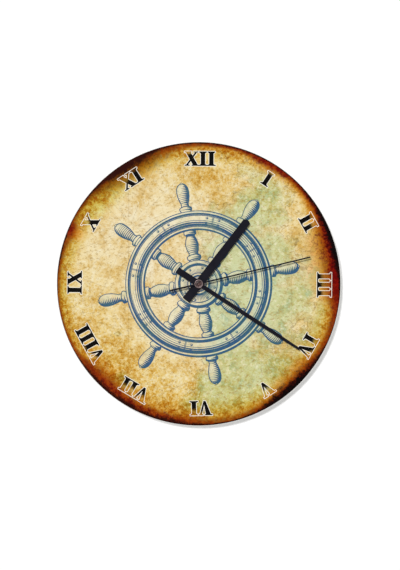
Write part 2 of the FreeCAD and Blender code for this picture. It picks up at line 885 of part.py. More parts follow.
def motor():
    """Stator, core, bobbin, winding and the two screws."""
    stator()
    coil()
    screws = []
    core_near = stator_near() - size("stator_thickness")
    for name, place in limb_places().items():
        head = rod("screw_head_" + name, place, core_near - size("screw_head_height"), core_near,
                   size("screw_head_radius"))
        shank = rod("screw_shank_" + name, place, core_near - size("screw_head_height"),
                    core_near + size("screw_length"), size("screw_shank_radius"))
        half_slot = size("screw_slot") / 2
        slot_depth = core_near - size("screw_head_height")
        slot = slab("screw_slot_" + name,
                    (place[0] - size("screw_head_radius"), place[1] - half_slot, slot_depth - overrun),
                    (place[0] + size("screw_head_radius"), place[1] + half_slot,
                     slot_depth + size("screw_slot")))
        screws.append(without("screw_" + name, joined("screw_solid_" + name, [head, shank]), [slot]))
    keep(group("coil_screws", screws), "coil_screws")


def stator():
    """The soft iron plate around the rotor, with a limb to each end of the core."""
    left, right = stator_left(), stator_right()
    near, far = stator_near(), stator_far()
    low = rotor_place[1] - size("stator_reach")
    limb = size("stator_limb")
    limb_top = coil_height + size("core_height") / 2
    parts = [slab("stator_bar", (left, low, near), (right, stator_top, far)),
             slab("stator_left_limb", (left, low, near), (left + limb, limb_top, far)),
             slab("stator_right_limb", (right - limb, low, near), (right, limb_top, far))]
    cuts = [rod("rotor_hole", rotor_place, near - overrun, far + overrun,
                size("magnet_radius") + size("rotor_gap"))]
    for name, place in limb_places().items():
        cuts.append(rod("stator_screw_hole_" + name, place, near - overrun, far + overrun,
                        size("screw_shank_radius")))
    for name, place in spacer_places().items():
        cuts.append(rod("stator_peg_hole_" + name, place, near - overrun, far + overrun,
                        size("spacer_radius") / 2 + size("peg_clearance")))
    keep(without("stator", joined("stator_solid", parts), cuts), "stator")


def coil():
    """The core through the bobbin, and the winding as one closed form."""
    middle, height, depth = coil_place()
    left, right = stator_left(), stator_right()
    near = stator_near() - size("stator_thickness")
    far = stator_near()
    half_core = size("core_height") / 2
    core = slab("core_plate", (left, height - half_core, near), (right, height + half_core, far))
    holes = [rod("core_screw_hole_" + name, place, near - overrun, far + overrun,
                 size("screw_shank_radius")) for name, place in limb_places().items()]
    keep(without("coil_core", core, holes), "coil_core")

    gap = size("bobbin_gap")
    wall = size("bobbin_wall")
    start = left + size("stator_limb")
    finish = right - size("stator_limb")
    flange = size("bobbin_flange_thickness")
    axis_depth = (near + far) / 2
    tube_low = (start, height - half_core - gap - wall, near - gap - wall)
    tube_high = (finish, height + half_core + gap + wall, far + gap + wall)
    window = slab("bobbin_window", (start - overrun, height - half_core - gap, near - gap),
                  (finish + overrun, height + half_core + gap, far + gap))
    parts = [slab("bobbin_tube", tube_low, tube_high)]
    for name, x in (("left", start), ("right", finish - flange)):
        parts.append(level_rod("bobbin_flange_" + name, (x, height, axis_depth), flange,
                               size("bobbin_flange_radius")))
    keep(without("coil_bobbin", joined("coil_bobbin_solid", parts), [window]), "coil_bobbin")

    wound = level_rod("winding_outside", (start + flange, height, axis_depth),
                      finish - start - flange * 2, size("winding_radius"))
    inside = slab("winding_inside", (start, tube_low[1], tube_low[2]),
                  (finish, tube_high[1], tube_high[2]))
    keep(without("coil_winding", wound, [inside]), "coil_winding")


def circuit():
    """The circuit board with its chip cover and quartz crystal."""
    left, bottom, right, top = circuit_edges()
    near = circuit_near()
    board = slab("circuit_plate", (left, bottom, near), (right, top, circuit_far()))
    keep(group("circuit_board", [board]), "circuit_board")
    chip = rod("chip_disc", ((left + right) / 2, bottom + size("chip_radius") + size("plate_margin")),
               near - size("chip_height"), near, size("chip_radius"))
    keep(group("chip_cover", [chip]), "chip_cover")
    crystal = size("crystal_radius")
    can = level_rod("crystal_can", (left + size("circuit_post_radius"),
                                    top - crystal - size("plate_margin"), near - crystal),
                    size("crystal_length"), crystal)
    keep(group("quartz_crystal", [can]), "quartz_crystal")


def contacts():
    """The two contact strips, from the battery's ends to the circuit board."""
    thin = size("strip_thickness")
    near = size("strip_near_depth")
    far = near + size("strip_width")
    battery_height = (bay_top + bay_bottom) / 2
    half_plate = size("contact_plate_height") / 2
    plate_near_depth = battery_depth() - size("contact_plate_width") / 2
    plate_far_depth = battery_depth() + size("contact_plate_width") / 2
    left, bottom, right, top = circuit_edges()
    foot_near = circuit_far()
    foot_height = bottom + size("contact_foot")

    wall = inner_half_width
    button_end = wall - size("positive_room") + size("contact_gap")
    positive = [
        slab("positive_plate", (wall - thin, battery_height - half_plate, plate_near_depth),
             (wall, battery_height + half_plate, plate_far_depth)),
        slab("positive_strip", (wall - thin, battery_height, near), (wall, foot_height, far)),
        slab("positive_foot", (right - size("contact_foot"), bottom, foot_near),
             (wall, foot_height, near)),
        level_rod("positive_button", (button_end, battery_height, battery_depth()),
                  wall - button_end, size("contact_button_radius"))]
    keep(joined("battery_positive_contact", positive), "battery_positive_contact")

    leaf = doc.addObject("Part::Feature", "negative_leaf")
    leaf.Shape = leaf_spring(battery_height, half_plate, plate_near_depth, plate_far_depth)
    negative = [
        leaf,
        slab("negative_plate", (-wall, battery_height - half_plate, plate_near_depth),
             (thin - wall, battery_height + half_plate, plate_far_depth)),
        slab("negative_strip", (-wall, battery_height, near), (thin - wall, chamber_top, far)),
        slab("negative_top_strip", (-wall, chamber_top - thin, near),
             (left + size("contact_foot"), chamber_top, far)),
        slab("negative_foot", (left, top - size("contact_foot"), foot_near),
             (left + size("contact_foot"), chamber_top, near))]
    keep(joined("battery_negative_contact", negative), "battery_negative_contact")


def leaf_spring(height, half_plate, near, far):
    """A thin bowed leaf that presses on the battery's flat end."""
    thin = size("strip_thickness").number
    base = thin / 2 - inner_half_width.number
    crest = (-inner_half_width + size("negative_room") - size("contact_gap")).number
    low = (height - half_plate).number
    high = (height + half_plate).number
    middle = height.number

    def bow(x, crest_x):
        return Part.Arc(FreeCAD.Vector(x, low, near.number), FreeCAD.Vector(crest_x, middle, near.number),
                        FreeCAD.Vector(x, high, near.number)).toShape()

    outer = bow(base + thin, crest)
    inner = bow(base, crest - thin)
    ends = [Part.makeLine(outer.Vertexes[0].Point, inner.Vertexes[0].Point),
            Part.makeLine(outer.Vertexes[1].Point, inner.Vertexes[1].Point)]
    outline = Part.Wire(Part.__sortEdges__([outer, inner] + ends))
    return Part.Face(outline).extrude(FreeCAD.Vector(0, 0, (far - near).number))


def battery_depth():
    """The depth of the battery's axis, which lies on the front case's floor."""
    return floor_near - size("battery_floor_gap") - size("battery_diameter") / 2


def battery():
    """The round cell and its positive tip."""
    height = (bay_top + bay_bottom) / 2
    start = -inner_half_width + size("negative_room")
    can_length = size("battery_length") - size("battery_tip_length")
    radius = size("battery_diameter") / 2
    edge = size("battery_edge")
    depth = battery_depth()
    can = joined("battery_can", [
        level_rod("battery_can_middle", (start + edge, height, depth), can_length - edge * 2, radius),
        level_rod("battery_can_ends", (start, height, depth), can_length, radius - edge)])
    keep(can, "battery_cell")
    tip = level_rod("battery_tip", (start + can_length, height, depth), size("battery_tip_length"),
                    size("battery_tip_diameter") / 2)
    keep(group("battery_positive_cap", [tip]), "battery_positive_cap")


def going_train():
    """Rotor, intermediate wheel, second wheel, third wheel and centre wheel."""
    rotor_module = module_of(size("rotor_reach"), ROTOR_PINION_TEETH, INTERMEDIATE_WHEEL_TEETH)
    intermediate_module = module_of(size("intermediate_reach"), INTERMEDIATE_PINION_TEETH,
                                    SECOND_WHEEL_TEETH)
    second_module = module_of(size("third_reach"), SECOND_PINION_TEETH, THIRD_WHEEL_TEETH)
    third_module = module_of(size("third_reach"), THIRD_PINION_TEETH, CENTRE_WHEEL_TEETH)
    cannon_module = module_of(size("minute_reach"), CANNON_PINION_TEETH, MINUTE_WHEEL_TEETH)
    third_angle = size("third_angle").number

    centre_phase = 0.0
    wheel_piece("centre_wheel", [
        toothed(CENTRE_WHEEL_TEETH, third_module, centre_wheel_near, centre_wheel_far, centre_phase),
        toothed(CANNON_PINION_TEETH, cannon_module, centre_wheel_far, cannon_far, centre_phase),
        round_bar(centre_wheel_near, tube_end, size("minute_tube_radius"))], second_bore)

    third_phase = meshing_phase(centre_phase, CENTRE_WHEEL_TEETH, THIRD_PINION_TEETH, third_angle)
    third_pinion_far = third_front_boss() - size("end_play")
    wheel_piece("third_wheel", [
        toothed(THIRD_WHEEL_TEETH, second_module, third_wheel_near, third_wheel_far, third_phase),
        toothed(THIRD_PINION_TEETH, third_module, third_wheel_far, third_pinion_far, third_phase)],
        size("train_arbor_radius"), third_place)
    pin("third_arbor", third_place, arbor_end(third_rear_boss()), floor_near - level_gap * 2,
        size("train_arbor_radius"))

    second_phase = meshing_phase(third_phase, THIRD_WHEEL_TEETH, SECOND_PINION_TEETH,
                                 third_angle + 180)
    wheel_piece("second_wheel", [
        toothed(SECOND_WHEEL_TEETH, intermediate_module, second_wheel_near, second_wheel_far,
                second_phase),
        toothed(SECOND_PINION_TEETH, second_module, second_wheel_far, second_pinion_far,
                second_phase)], size("second_arbor_radius"))
    pin("second_arbor", CENTRE, arbor_end(second_rear_boss()), second_hand_far,
        size("second_arbor_radius"))

    intermediate_phase = meshing_phase(second_phase, SECOND_WHEEL_TEETH, INTERMEDIATE_PINION_TEETH,
                                       size("intermediate_angle").number)
    wheel_piece("intermediate_wheel", [
        toothed(INTERMEDIATE_PINION_TEETH, intermediate_module, intermediate_pinion_near,
                intermediate_wheel_near, intermediate_phase),
        toothed(INTERMEDIATE_WHEEL_TEETH, rotor_module, intermediate_wheel_near,
                intermediate_wheel_far, intermediate_phase),
        round_bar(arbor_end(intermediate_rear_boss()), plate_far - level_gap / 2,
                  size("train_arbor_radius"))], None, intermediate_place)

    rotor_phase = meshing_phase(intermediate_phase, INTERMEDIATE_WHEEL_TEETH, ROTOR_PINION_TEETH,
                                size("rotor_angle").number)
    wheel_piece("rotor_pinion", [
        toothed(ROTOR_PINION_TEETH, rotor_module, rotor_pinion_near, rotor_pinion_far, rotor_phase),
        round_bar(rotor_pinion_far, magnet_near, size("rotor_core_radius") * 2),
        round_bar(magnet_near, magnet_far, size("rotor_core_radius")),
        round_bar(arbor_end(rotor_rear_boss()), plate_far - level_gap / 2,
                  size("rotor_pivot_radius"))], None, rotor_place)
    wheel_piece("rotor_magnet", [round_bar(magnet_near, magnet_far, size("magnet_radius"))],
                size("rotor_core_radius"), rotor_place)


def pin(label, place, near, far, radius):
    """A plain steel arbor."""
    bar = rod(label + "_bar", CENTRE, near, far, radius)
    keep(group(label, [bar]), label, place)


def dial_train():
    """Minute wheel, hour wheel with its pipe, and the setting knob."""
    cannon_module = module_of(size("minute_reach"), CANNON_PINION_TEETH, MINUTE_WHEEL_TEETH)
    hour_module = module_of(size("minute_reach"), MINUTE_PINION_TEETH, HOUR_WHEEL_TEETH)
    minute_angle = size("minute_angle").number

    minute_phase = meshing_phase(0.0, CANNON_PINION_TEETH, MINUTE_WHEEL_TEETH, minute_angle)
    wheel_piece("minute_wheel", [
        toothed(MINUTE_WHEEL_TEETH, cannon_module, minute_wheel_near, minute_wheel_far, minute_phase),
        toothed(MINUTE_PINION_TEETH, hour_module, minute_wheel_far, flange_near, minute_phase)],
        size("minute_post_radius") + pivot_clearance, minute_place)

    hour_phase = meshing_phase(minute_phase, MINUTE_PINION_TEETH, HOUR_WHEEL_TEETH,
                               minute_angle + 180)
    wheel_piece("hour_wheel", [
        toothed(HOUR_WHEEL_TEETH, hour_module, hour_wheel_near, hour_wheel_far, hour_phase),
        round_bar(hour_wheel_near, pipe_end, size("hour_pipe_radius"))], tube_bore)

    setting_phase = meshing_phase(minute_phase, MINUTE_WHEEL_TEETH, SETTING_PINION_TEETH,
                                  size("setting_angle").number)
    knob_near = size("knob_setback")
    knob_far = knob_near + size("knob_length")
    pinion_near = (minute_wheel_near + minute_wheel_far - size("setting_pinion_length")) / 2
    wheel_piece("setting_knob", [
        knob_head(knob_near, knob_far),
        round_bar(knob_far, floor_near - level_gap * 2, size("setting_shaft_radius")),
        toothed(SETTING_PINION_TEETH, cannon_module, pinion_near,
                pinion_near + size("setting_pinion_length"), setting_phase)], None, setting_place)


def knob_head(near, far):
    """The finger grip of the setting knob, with grooves all round."""
    grip = round_bar(near, far, size("knob_radius"))
    grooves = []
    for index in range(KNOB_GROOVES):
        angle = 2 * math.pi * index / KNOB_GROOVES
        groove = Part.makeCylinder(size("knob_groove").number, (far - near + overrun * 2).number,
                                   FreeCAD.Vector(size("knob_radius").number * math.cos(angle),
                                                  size("knob_radius").number * math.sin(angle),
                                                  (near - overrun).number))
        grooves.append(groove)
    return grip.cut(grooves)


def hands():
    """The three hands, their collets and the cap."""
    pipe = size("hour_pipe_radius")
    hour_neck = pipe + size("collet_wall")
    collet("hour_collet", pipe, hour_neck, hour_collet_near, hour_hand_near, pipe_end)
    half = size("hour_hand_width") / 2
    half_tip = size("hour_hand_tip_width") / 2
    shoulder = size("hour_hand_length") - size("hour_hand_tip_rise")
    hand("hour_hand", size("hour_hand_angle"), hour_hand_near, size("hand_thickness"), [
        (-half_tip, shoulder), (half_tip, shoulder), (half, ZERO), (half, -size("hour_hand_tail")),
        (-half, -size("hour_hand_tail")), (-half, ZERO)],
        hour_neck, {0: size("hour_hand_tip_rise")})

    tube = size("minute_tube_radius")
    minute_neck = tube + size("collet_wall")
    collet("minute_collet", tube, minute_neck, minute_collet_near, minute_hand_near, tube_end)
    long_hand("minute_hand", "minute_hand", minute_hand_near, size("hand_thickness"),
              size("minute_hub_radius"), minute_neck, size("minute_hand_tip_width") / 2)
    long_hand("second_hand", "second_hand", second_hand_near, size("second_hand_thickness"),
              size("second_hub_radius"), size("second_arbor_radius"),
              size("second_hand_width") / 2)
    flat_ring("second_tube", second_tube_near, second_hand_near, size("second_tube_radius"),
              size("second_arbor_radius"))
    hub_cap()


def collet(label, bore, neck, near, seat, end):
    """A collet pressed on its pipe, with a neck through the hand."""
    flange = neck + size("collet_flange")
    turned(label, [(bore, near), (flange, near), (flange, seat), (neck, seat), (neck, end),
                   (bore, end)])


def hand(label, angle, near, thickness, corners, hole, bows=None):
    """A flat hand turned to its place on the dial, with the hole for its collet."""
    body = new_body(label)
    sketch = sketch_on(body, "XY_Plane", label + "_outline", near, -angle)
    draw_outline(sketch, corners, bows)
    draw_circle(sketch, hole)
    pad(body, sketch, label + "_pad", thickness)
    return keep(body, label)


def long_hand(label, sizes, near, thickness, hub, hole, half_tip):
    """A slender hand: pointer and tail meet in a round hub."""
    half = size(f"{sizes}_width") / 2
    half_tail = size(f"{sizes}_tail_width") / 2
    tail = size(f"{sizes}_tail")
    length = size(f"{sizes}_length")
    blade = new_body(label + "_blade")
    sketch = sketch_on(blade, "XY_Plane", label + "_blade_outline", near, -size(f"{sizes}_angle"))
    draw_outline(sketch, [(-half_tip, length), (half_tip, length), (half, ZERO), (half_tail, -hub),
                          (half_tail, -tail), (-half_tail, -tail), (-half_tail, -hub),
                          (-half, ZERO)])
    pad(blade, sketch, label + "_blade_pad", thickness)
    disc = rod(label + "_hub", CENTRE, near, near + thickness, hub)
    bore = rod(label + "_bore", CENTRE, near - overrun, near + thickness + overrun, hole)
    keep(without(label, joined(label + "_solid", [blade, disc]), [bore]), label)


def hub_cap():
    """The polished cap over the hands' centre: a low dome on a straight rim."""
    radius = size("cap_radius")
    rim_far = second_hand_far + size("cap_rim_height")
    rise = size("cap_rise")
    ball_radius = (radius * radius + rise * rise) / (rise * 2)
    ball = doc.addObject("Part::Sphere", "cap_ball")
    bind(ball, {"Radius": ball_radius, "Placement.Base.z": rim_far + rise - ball_radius})
    dome = doc.addObject("Part::MultiCommon", "cap_dome")
    dome.Shapes = [ball, rod("cap_room", CENTRE, rim_far - rise, rim_far + rise, radius)]
    rim = rod("cap_rim", CENTRE, second_hand_far, rim_far, radius)
    upper = doc.addObject("Part::MultiCommon", "cap_upper")
    upper.Shapes = [dome, rod("cap_upper_room", CENTRE, rim_far, rim_far + rise * 2, radius * 2)]
    keep(joined("hub_cap", [rim, upper]), "hub_cap")


def write_parts():
    """Check every object and write each piece to its own file."""
    doc.recompute()
    for item in doc.Objects:
        if "Invalid" in item.State or "Error" in item.State:
            raise RuntimeError(f"{item.Name} is {item.State}")
    os.makedirs("parts", exist_ok=True)
    for item in pieces:
        shape = item.Shape
        if shape.isNull() or not shape.isValid():
            raise RuntimeError(f"{item.Label} has no valid shape")
        shape.exportStep(f"parts/{item.Label}.step")
        box = shape.BoundBox
        print(f"{item.Label:26s} solids {len(shape.Solids)} volume {shape.Volume:10.2f}",
              f"x {box.XMin:7.2f} {box.XMax:7.2f} y {box.YMin:7.2f} {box.YMax:6.2f}",
              f"z {box.ZMin:7.2f} {box.ZMax:7.2f}")
    print(len(pieces), "pieces")


dial()
centre_bush()
front_case()
rear_case()
middle_plate()
motor()
circuit()
contacts()
battery()
going_train()
dial_train()
hands()
write_parts()
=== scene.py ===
"""Looks of a frameless round wall clock: printed disc, three black hands and a battery movement.

Lengths in the classes are millimetres, as in the part's source. A place on the clock is given in
plan: right and up as seen from the front, and depth from the wall towards the viewer.
"""

import logging
import math
import random
from dataclasses import dataclass, field
from enum import Enum
from functools import cached_property

import bmesh
import bpy
import numpy as np
from bmesh.types import BMesh, BMVert
from bpy.types import Material, Node
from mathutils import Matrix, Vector
from mathutils.geometry import delaunay_2d_cdt


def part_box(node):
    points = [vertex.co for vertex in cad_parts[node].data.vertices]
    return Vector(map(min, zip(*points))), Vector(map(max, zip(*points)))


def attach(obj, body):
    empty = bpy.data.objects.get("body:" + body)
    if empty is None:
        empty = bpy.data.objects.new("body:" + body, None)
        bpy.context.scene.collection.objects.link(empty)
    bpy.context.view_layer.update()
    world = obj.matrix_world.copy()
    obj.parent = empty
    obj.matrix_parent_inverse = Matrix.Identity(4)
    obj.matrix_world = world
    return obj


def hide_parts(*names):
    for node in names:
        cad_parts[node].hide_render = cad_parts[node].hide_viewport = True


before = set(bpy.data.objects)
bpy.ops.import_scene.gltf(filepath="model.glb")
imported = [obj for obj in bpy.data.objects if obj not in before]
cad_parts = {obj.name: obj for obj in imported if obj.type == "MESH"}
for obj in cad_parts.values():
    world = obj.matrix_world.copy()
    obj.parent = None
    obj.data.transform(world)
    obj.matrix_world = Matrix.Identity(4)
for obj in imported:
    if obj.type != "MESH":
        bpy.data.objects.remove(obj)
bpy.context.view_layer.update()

MM = 0.001
TINY = 1e-9
LOG = logging.getLogger("wall clock")

Point = tuple[float, float]
Shade = tuple[int, int, int]
Hours = dict[float, float]
Colour = tuple[float, float, float, float]
Array = np.ndarray
Socket = bpy.types.NodeSocket
Tree = bpy.types.NodeTree
Setting = float | int | bool | str | tuple | Socket | bpy.types.ID


def srgb(red: float, green: float, blue: float) -> Colour:
    """A colour as it looks on the screen, 0 to 255, as the linear colour that shaders take.

    Args:
        red: Red share.
        green: Green share.
        blue: Blue share.

    Returns:
        The linear colour with an alpha of one.
    """
    shares = [value / 255 for value in (red, green, blue)]
    linear = [s / 12.92 if s <= 0.04045 else ((s + 0.055) / 1.055) ** 2.4 for s in shares]
    return linear[0], linear[1], linear[2], 1.0


# Node trees

class Wiring:
    """Adds nodes to one tree and connects them as they are made."""

    def __init__(self, tree: Tree) -> None:
        """Work on this tree."""
        self.tree = tree

    def feed(self, node: Node, values: dict[int | str, Setting]) -> None:
        """Set or link a node's inputs.

        Args:
            node: The node.
            values: Input sockets by name or number, each a number or a socket to link from.
        """
        for key, value in values.items():
            if isinstance(value, bpy.types.NodeSocket):
                self.tree.links.new(value, node.inputs[key])
            else:
                node.inputs[key].default_value = value

    def add(self, kind: str, values: dict[int | str, Setting] | None = None,
            **settings: Setting) -> Node:
        """Add one node.

        Args:
            kind: Blender's name of the node type.
            values: Its inputs, as for feed().
            **settings: Properties of the node, set before its inputs.

        Returns:
            The new node.
        """
        node = self.tree.nodes.new(kind)
        for name, setting in settings.items():
            setattr(node, name, setting)
        self.feed(node, values or {})
        return node

    def math(self, operation: str, *values: Setting, clamp: bool = False) -> Socket:
        """The result of a Math node."""
        return self.add("ShaderNodeMath", dict(enumerate(values)), operation=operation,
                        use_clamp=clamp).outputs[0]

    def plus(self, one: Setting, two: Setting) -> Socket:
        """The sum of two values."""
        return self.math("ADD", one, two)

    def minus(self, one: Setting, two: Setting, clamp: bool = False) -> Socket:
        """What is left of one value when another is taken off."""
        return self.math("SUBTRACT", one, two, clamp=clamp)

    def times(self, one: Setting, two: Setting, clamp: bool = False) -> Socket:
        """The product of two values."""
        return self.math("MULTIPLY", one, two, clamp=clamp)

    def vector(self, operation: str, *values: Setting) -> Socket:
        """The vector result of a Vector Math node."""
        return self.add("ShaderNodeVectorMath", dict(enumerate(values)),
                        operation=operation).outputs["Vector"]

    def length(self, value: Setting) -> Socket:
        """The length of a vector."""
        return self.add("ShaderNodeVectorMath", {0: value}, operation="LENGTH").outputs["Value"]

    def blend(self, share: Setting, base: Setting, top: Setting, mode: str = "MIX") -> Socket:
        """The colour of a Mix node."""
        return self.add("ShaderNodeMix", {0: share, 6: base, 7: top}, data_type="RGBA",
                        blend_type=mode).outputs[2]

    def step(self, value: Setting, low: Setting, high: Setting) -> Socket:
        """Rises smoothly from 0 at low to 1 at high."""
        return self.add("ShaderNodeMapRange", {"Value": value, "From Min": low, "From Max": high},
                        interpolation_type="SMOOTHSTEP").outputs[0]

    def cloud(self, place: Setting, scale: Setting, detail: float, roughness: float = 0.5,
              seed: Setting | None = None) -> Socket:
        """Cloud noise from 0 to 1.

        Args:
            place: Where to read it.
            scale: How many of its largest forms lie along one unit of the place.
            detail: How often it is laid over itself, each time finer.
            roughness: How much the finer ones count.
            seed: Which of many noises it is, if there is a choice.

        Returns:
            The noise.
        """
        node = self.add("ShaderNodeTexNoise", {"Vector": place, "Scale": scale, "Detail": detail,
                                               "Roughness": roughness})
        if seed is not None:
            node.noise_dimensions = "4D"
            self.feed(node, {"W": seed})
        return node.outputs["Fac"]

    def noise(self, place: Setting, size: float, seed: float, detail: float = 3.0,
              roughness: float = 0.55) -> Socket:
        """Cloud noise from 0 to 1 whose largest forms are about one size across."""
        return self.cloud(place, 1 / size, detail, roughness, seed)

    def curve(self, value: Setting, points: list[Point]) -> Socket:
        """A value read from a drawn curve whose both axes run from 0 to 1.

        Args:
            value: Where to read it.
            points: The curve's points in order.

        Returns:
            The height of the curve there.
        """
        node = self.add("ShaderNodeFloatCurve", {"Value": value})
        line = node.mapping.curves[0]
        for x, y in points[1:-1]:
            line.points.new(x, y)
        line.points[0].location = points[0]
        line.points[-1].location = points[-1]
        node.mapping.update()
        return node.outputs[0]

    def separate(self, value: Socket) -> tuple[Socket, Socket, Socket]:
        """The three parts of a vector."""
        node = self.add("ShaderNodeSeparateXYZ", {0: value})
        return node.outputs[0], node.outputs[1], node.outputs[2]

    def combine(self, x: Setting, y: Setting, z: Setting) -> Socket:
        """A vector from its three parts."""
        return self.add("ShaderNodeCombineXYZ", {0: x, 1: y, 2: z}).outputs[0]

    def use(self, tree: Tree, values: dict[str, Setting]) -> Node:
        """Place a shader node group."""
        return self.add("ShaderNodeGroup", values, node_tree=tree)

    def place(self) -> Socket:
        """Where a point of the object is, in metres."""
        return self.add("ShaderNodeTexCoord").outputs["Object"]

    def plan(self, place: Socket) -> Socket:
        """A place in plan: millimetres right and up of the dial's centre, as x and z."""
        return self.vector("MULTIPLY", place, (1 / MM, 0.0, 1 / MM))

    def bump(self, height: Socket, strength: float, depth: float) -> Socket:
        """The normal of a surface with a relief of a depth in millimetres."""
        return self.add("ShaderNodeBump", {"Height": height, "Strength": strength,
                                           "Distance": depth * MM}).outputs[0]


@dataclass
class Group:
    """A node group while it is being built."""

    tree: Tree
    wiring: Wiring
    source: Node
    result: Node

    @classmethod
    def new(cls, name: str, kind: str, inputs: dict[str, tuple[str, Setting]],
            outputs: dict[str, str]) -> "Group":
        """Start a group.

        Args:
            name: Name of the group.
            kind: Type of tree, for shaders or for geometry.
            inputs: Socket type and starting value of each input.
            outputs: Socket type of each output.

        Returns:
            The group with its input and output nodes.
        """
        tree = bpy.data.node_groups.new(name, kind)
        for label, (socket_type, value) in inputs.items():
            socket = tree.interface.new_socket(name=label, in_out="INPUT", socket_type=socket_type)
            if value is not None:
                socket.default_value = value
        for label, socket_type in outputs.items():
            tree.interface.new_socket(name=label, in_out="OUTPUT", socket_type=socket_type)
        wiring = Wiring(tree)
        return cls(tree, wiring, wiring.add("NodeGroupInput"), wiring.add("NodeGroupOutput"))

    def __getitem__(self, name: str) -> Socket:
        """The socket that brings in an input."""
        return self.source.outputs[name]

    def give(self, **results: Socket) -> Tree:
        """Link a socket to each output and hand over the finished tree."""
        for name, socket in results.items():
            self.tree.links.new(socket, self.result.inputs[name])
        return self.tree


VECTOR, FLOAT, COLOUR = "NodeSocketVector", "NodeSocketFloat", "NodeSocketColor"
BLACK: Colour = (0.0, 0.0, 0.0, 1.0)
WHITE: Colour = (1.0, 1.0, 1.0, 1.0)

# What each kind of scorch lets through of the paper's red, green and blue
OLIVE: Colour = (0.85, 1.0, 0.8, 1.0)
UMBER: Colour = (0.36, 0.22, 0.1, 1.0)
TAN: Colour = (0.64, 0.52, 0.24, 1.0)
RED_FRINGE: Colour = (0.96, 0.62, 0.3, 1.0)
BROWN_FRINGE: Colour = (0.82, 0.58, 0.24, 1.0)


def hour_curve(depths: Hours, full: float = 1.0) -> list[Point]:
    """A closed curve round the dial from VI, through depths at hours as shares of a full one."""
    points = sorted((((hour - 6) % 12) / 12, depth / full) for hour, depth in depths.items())
    return points + [(1.0, points[0][1])]


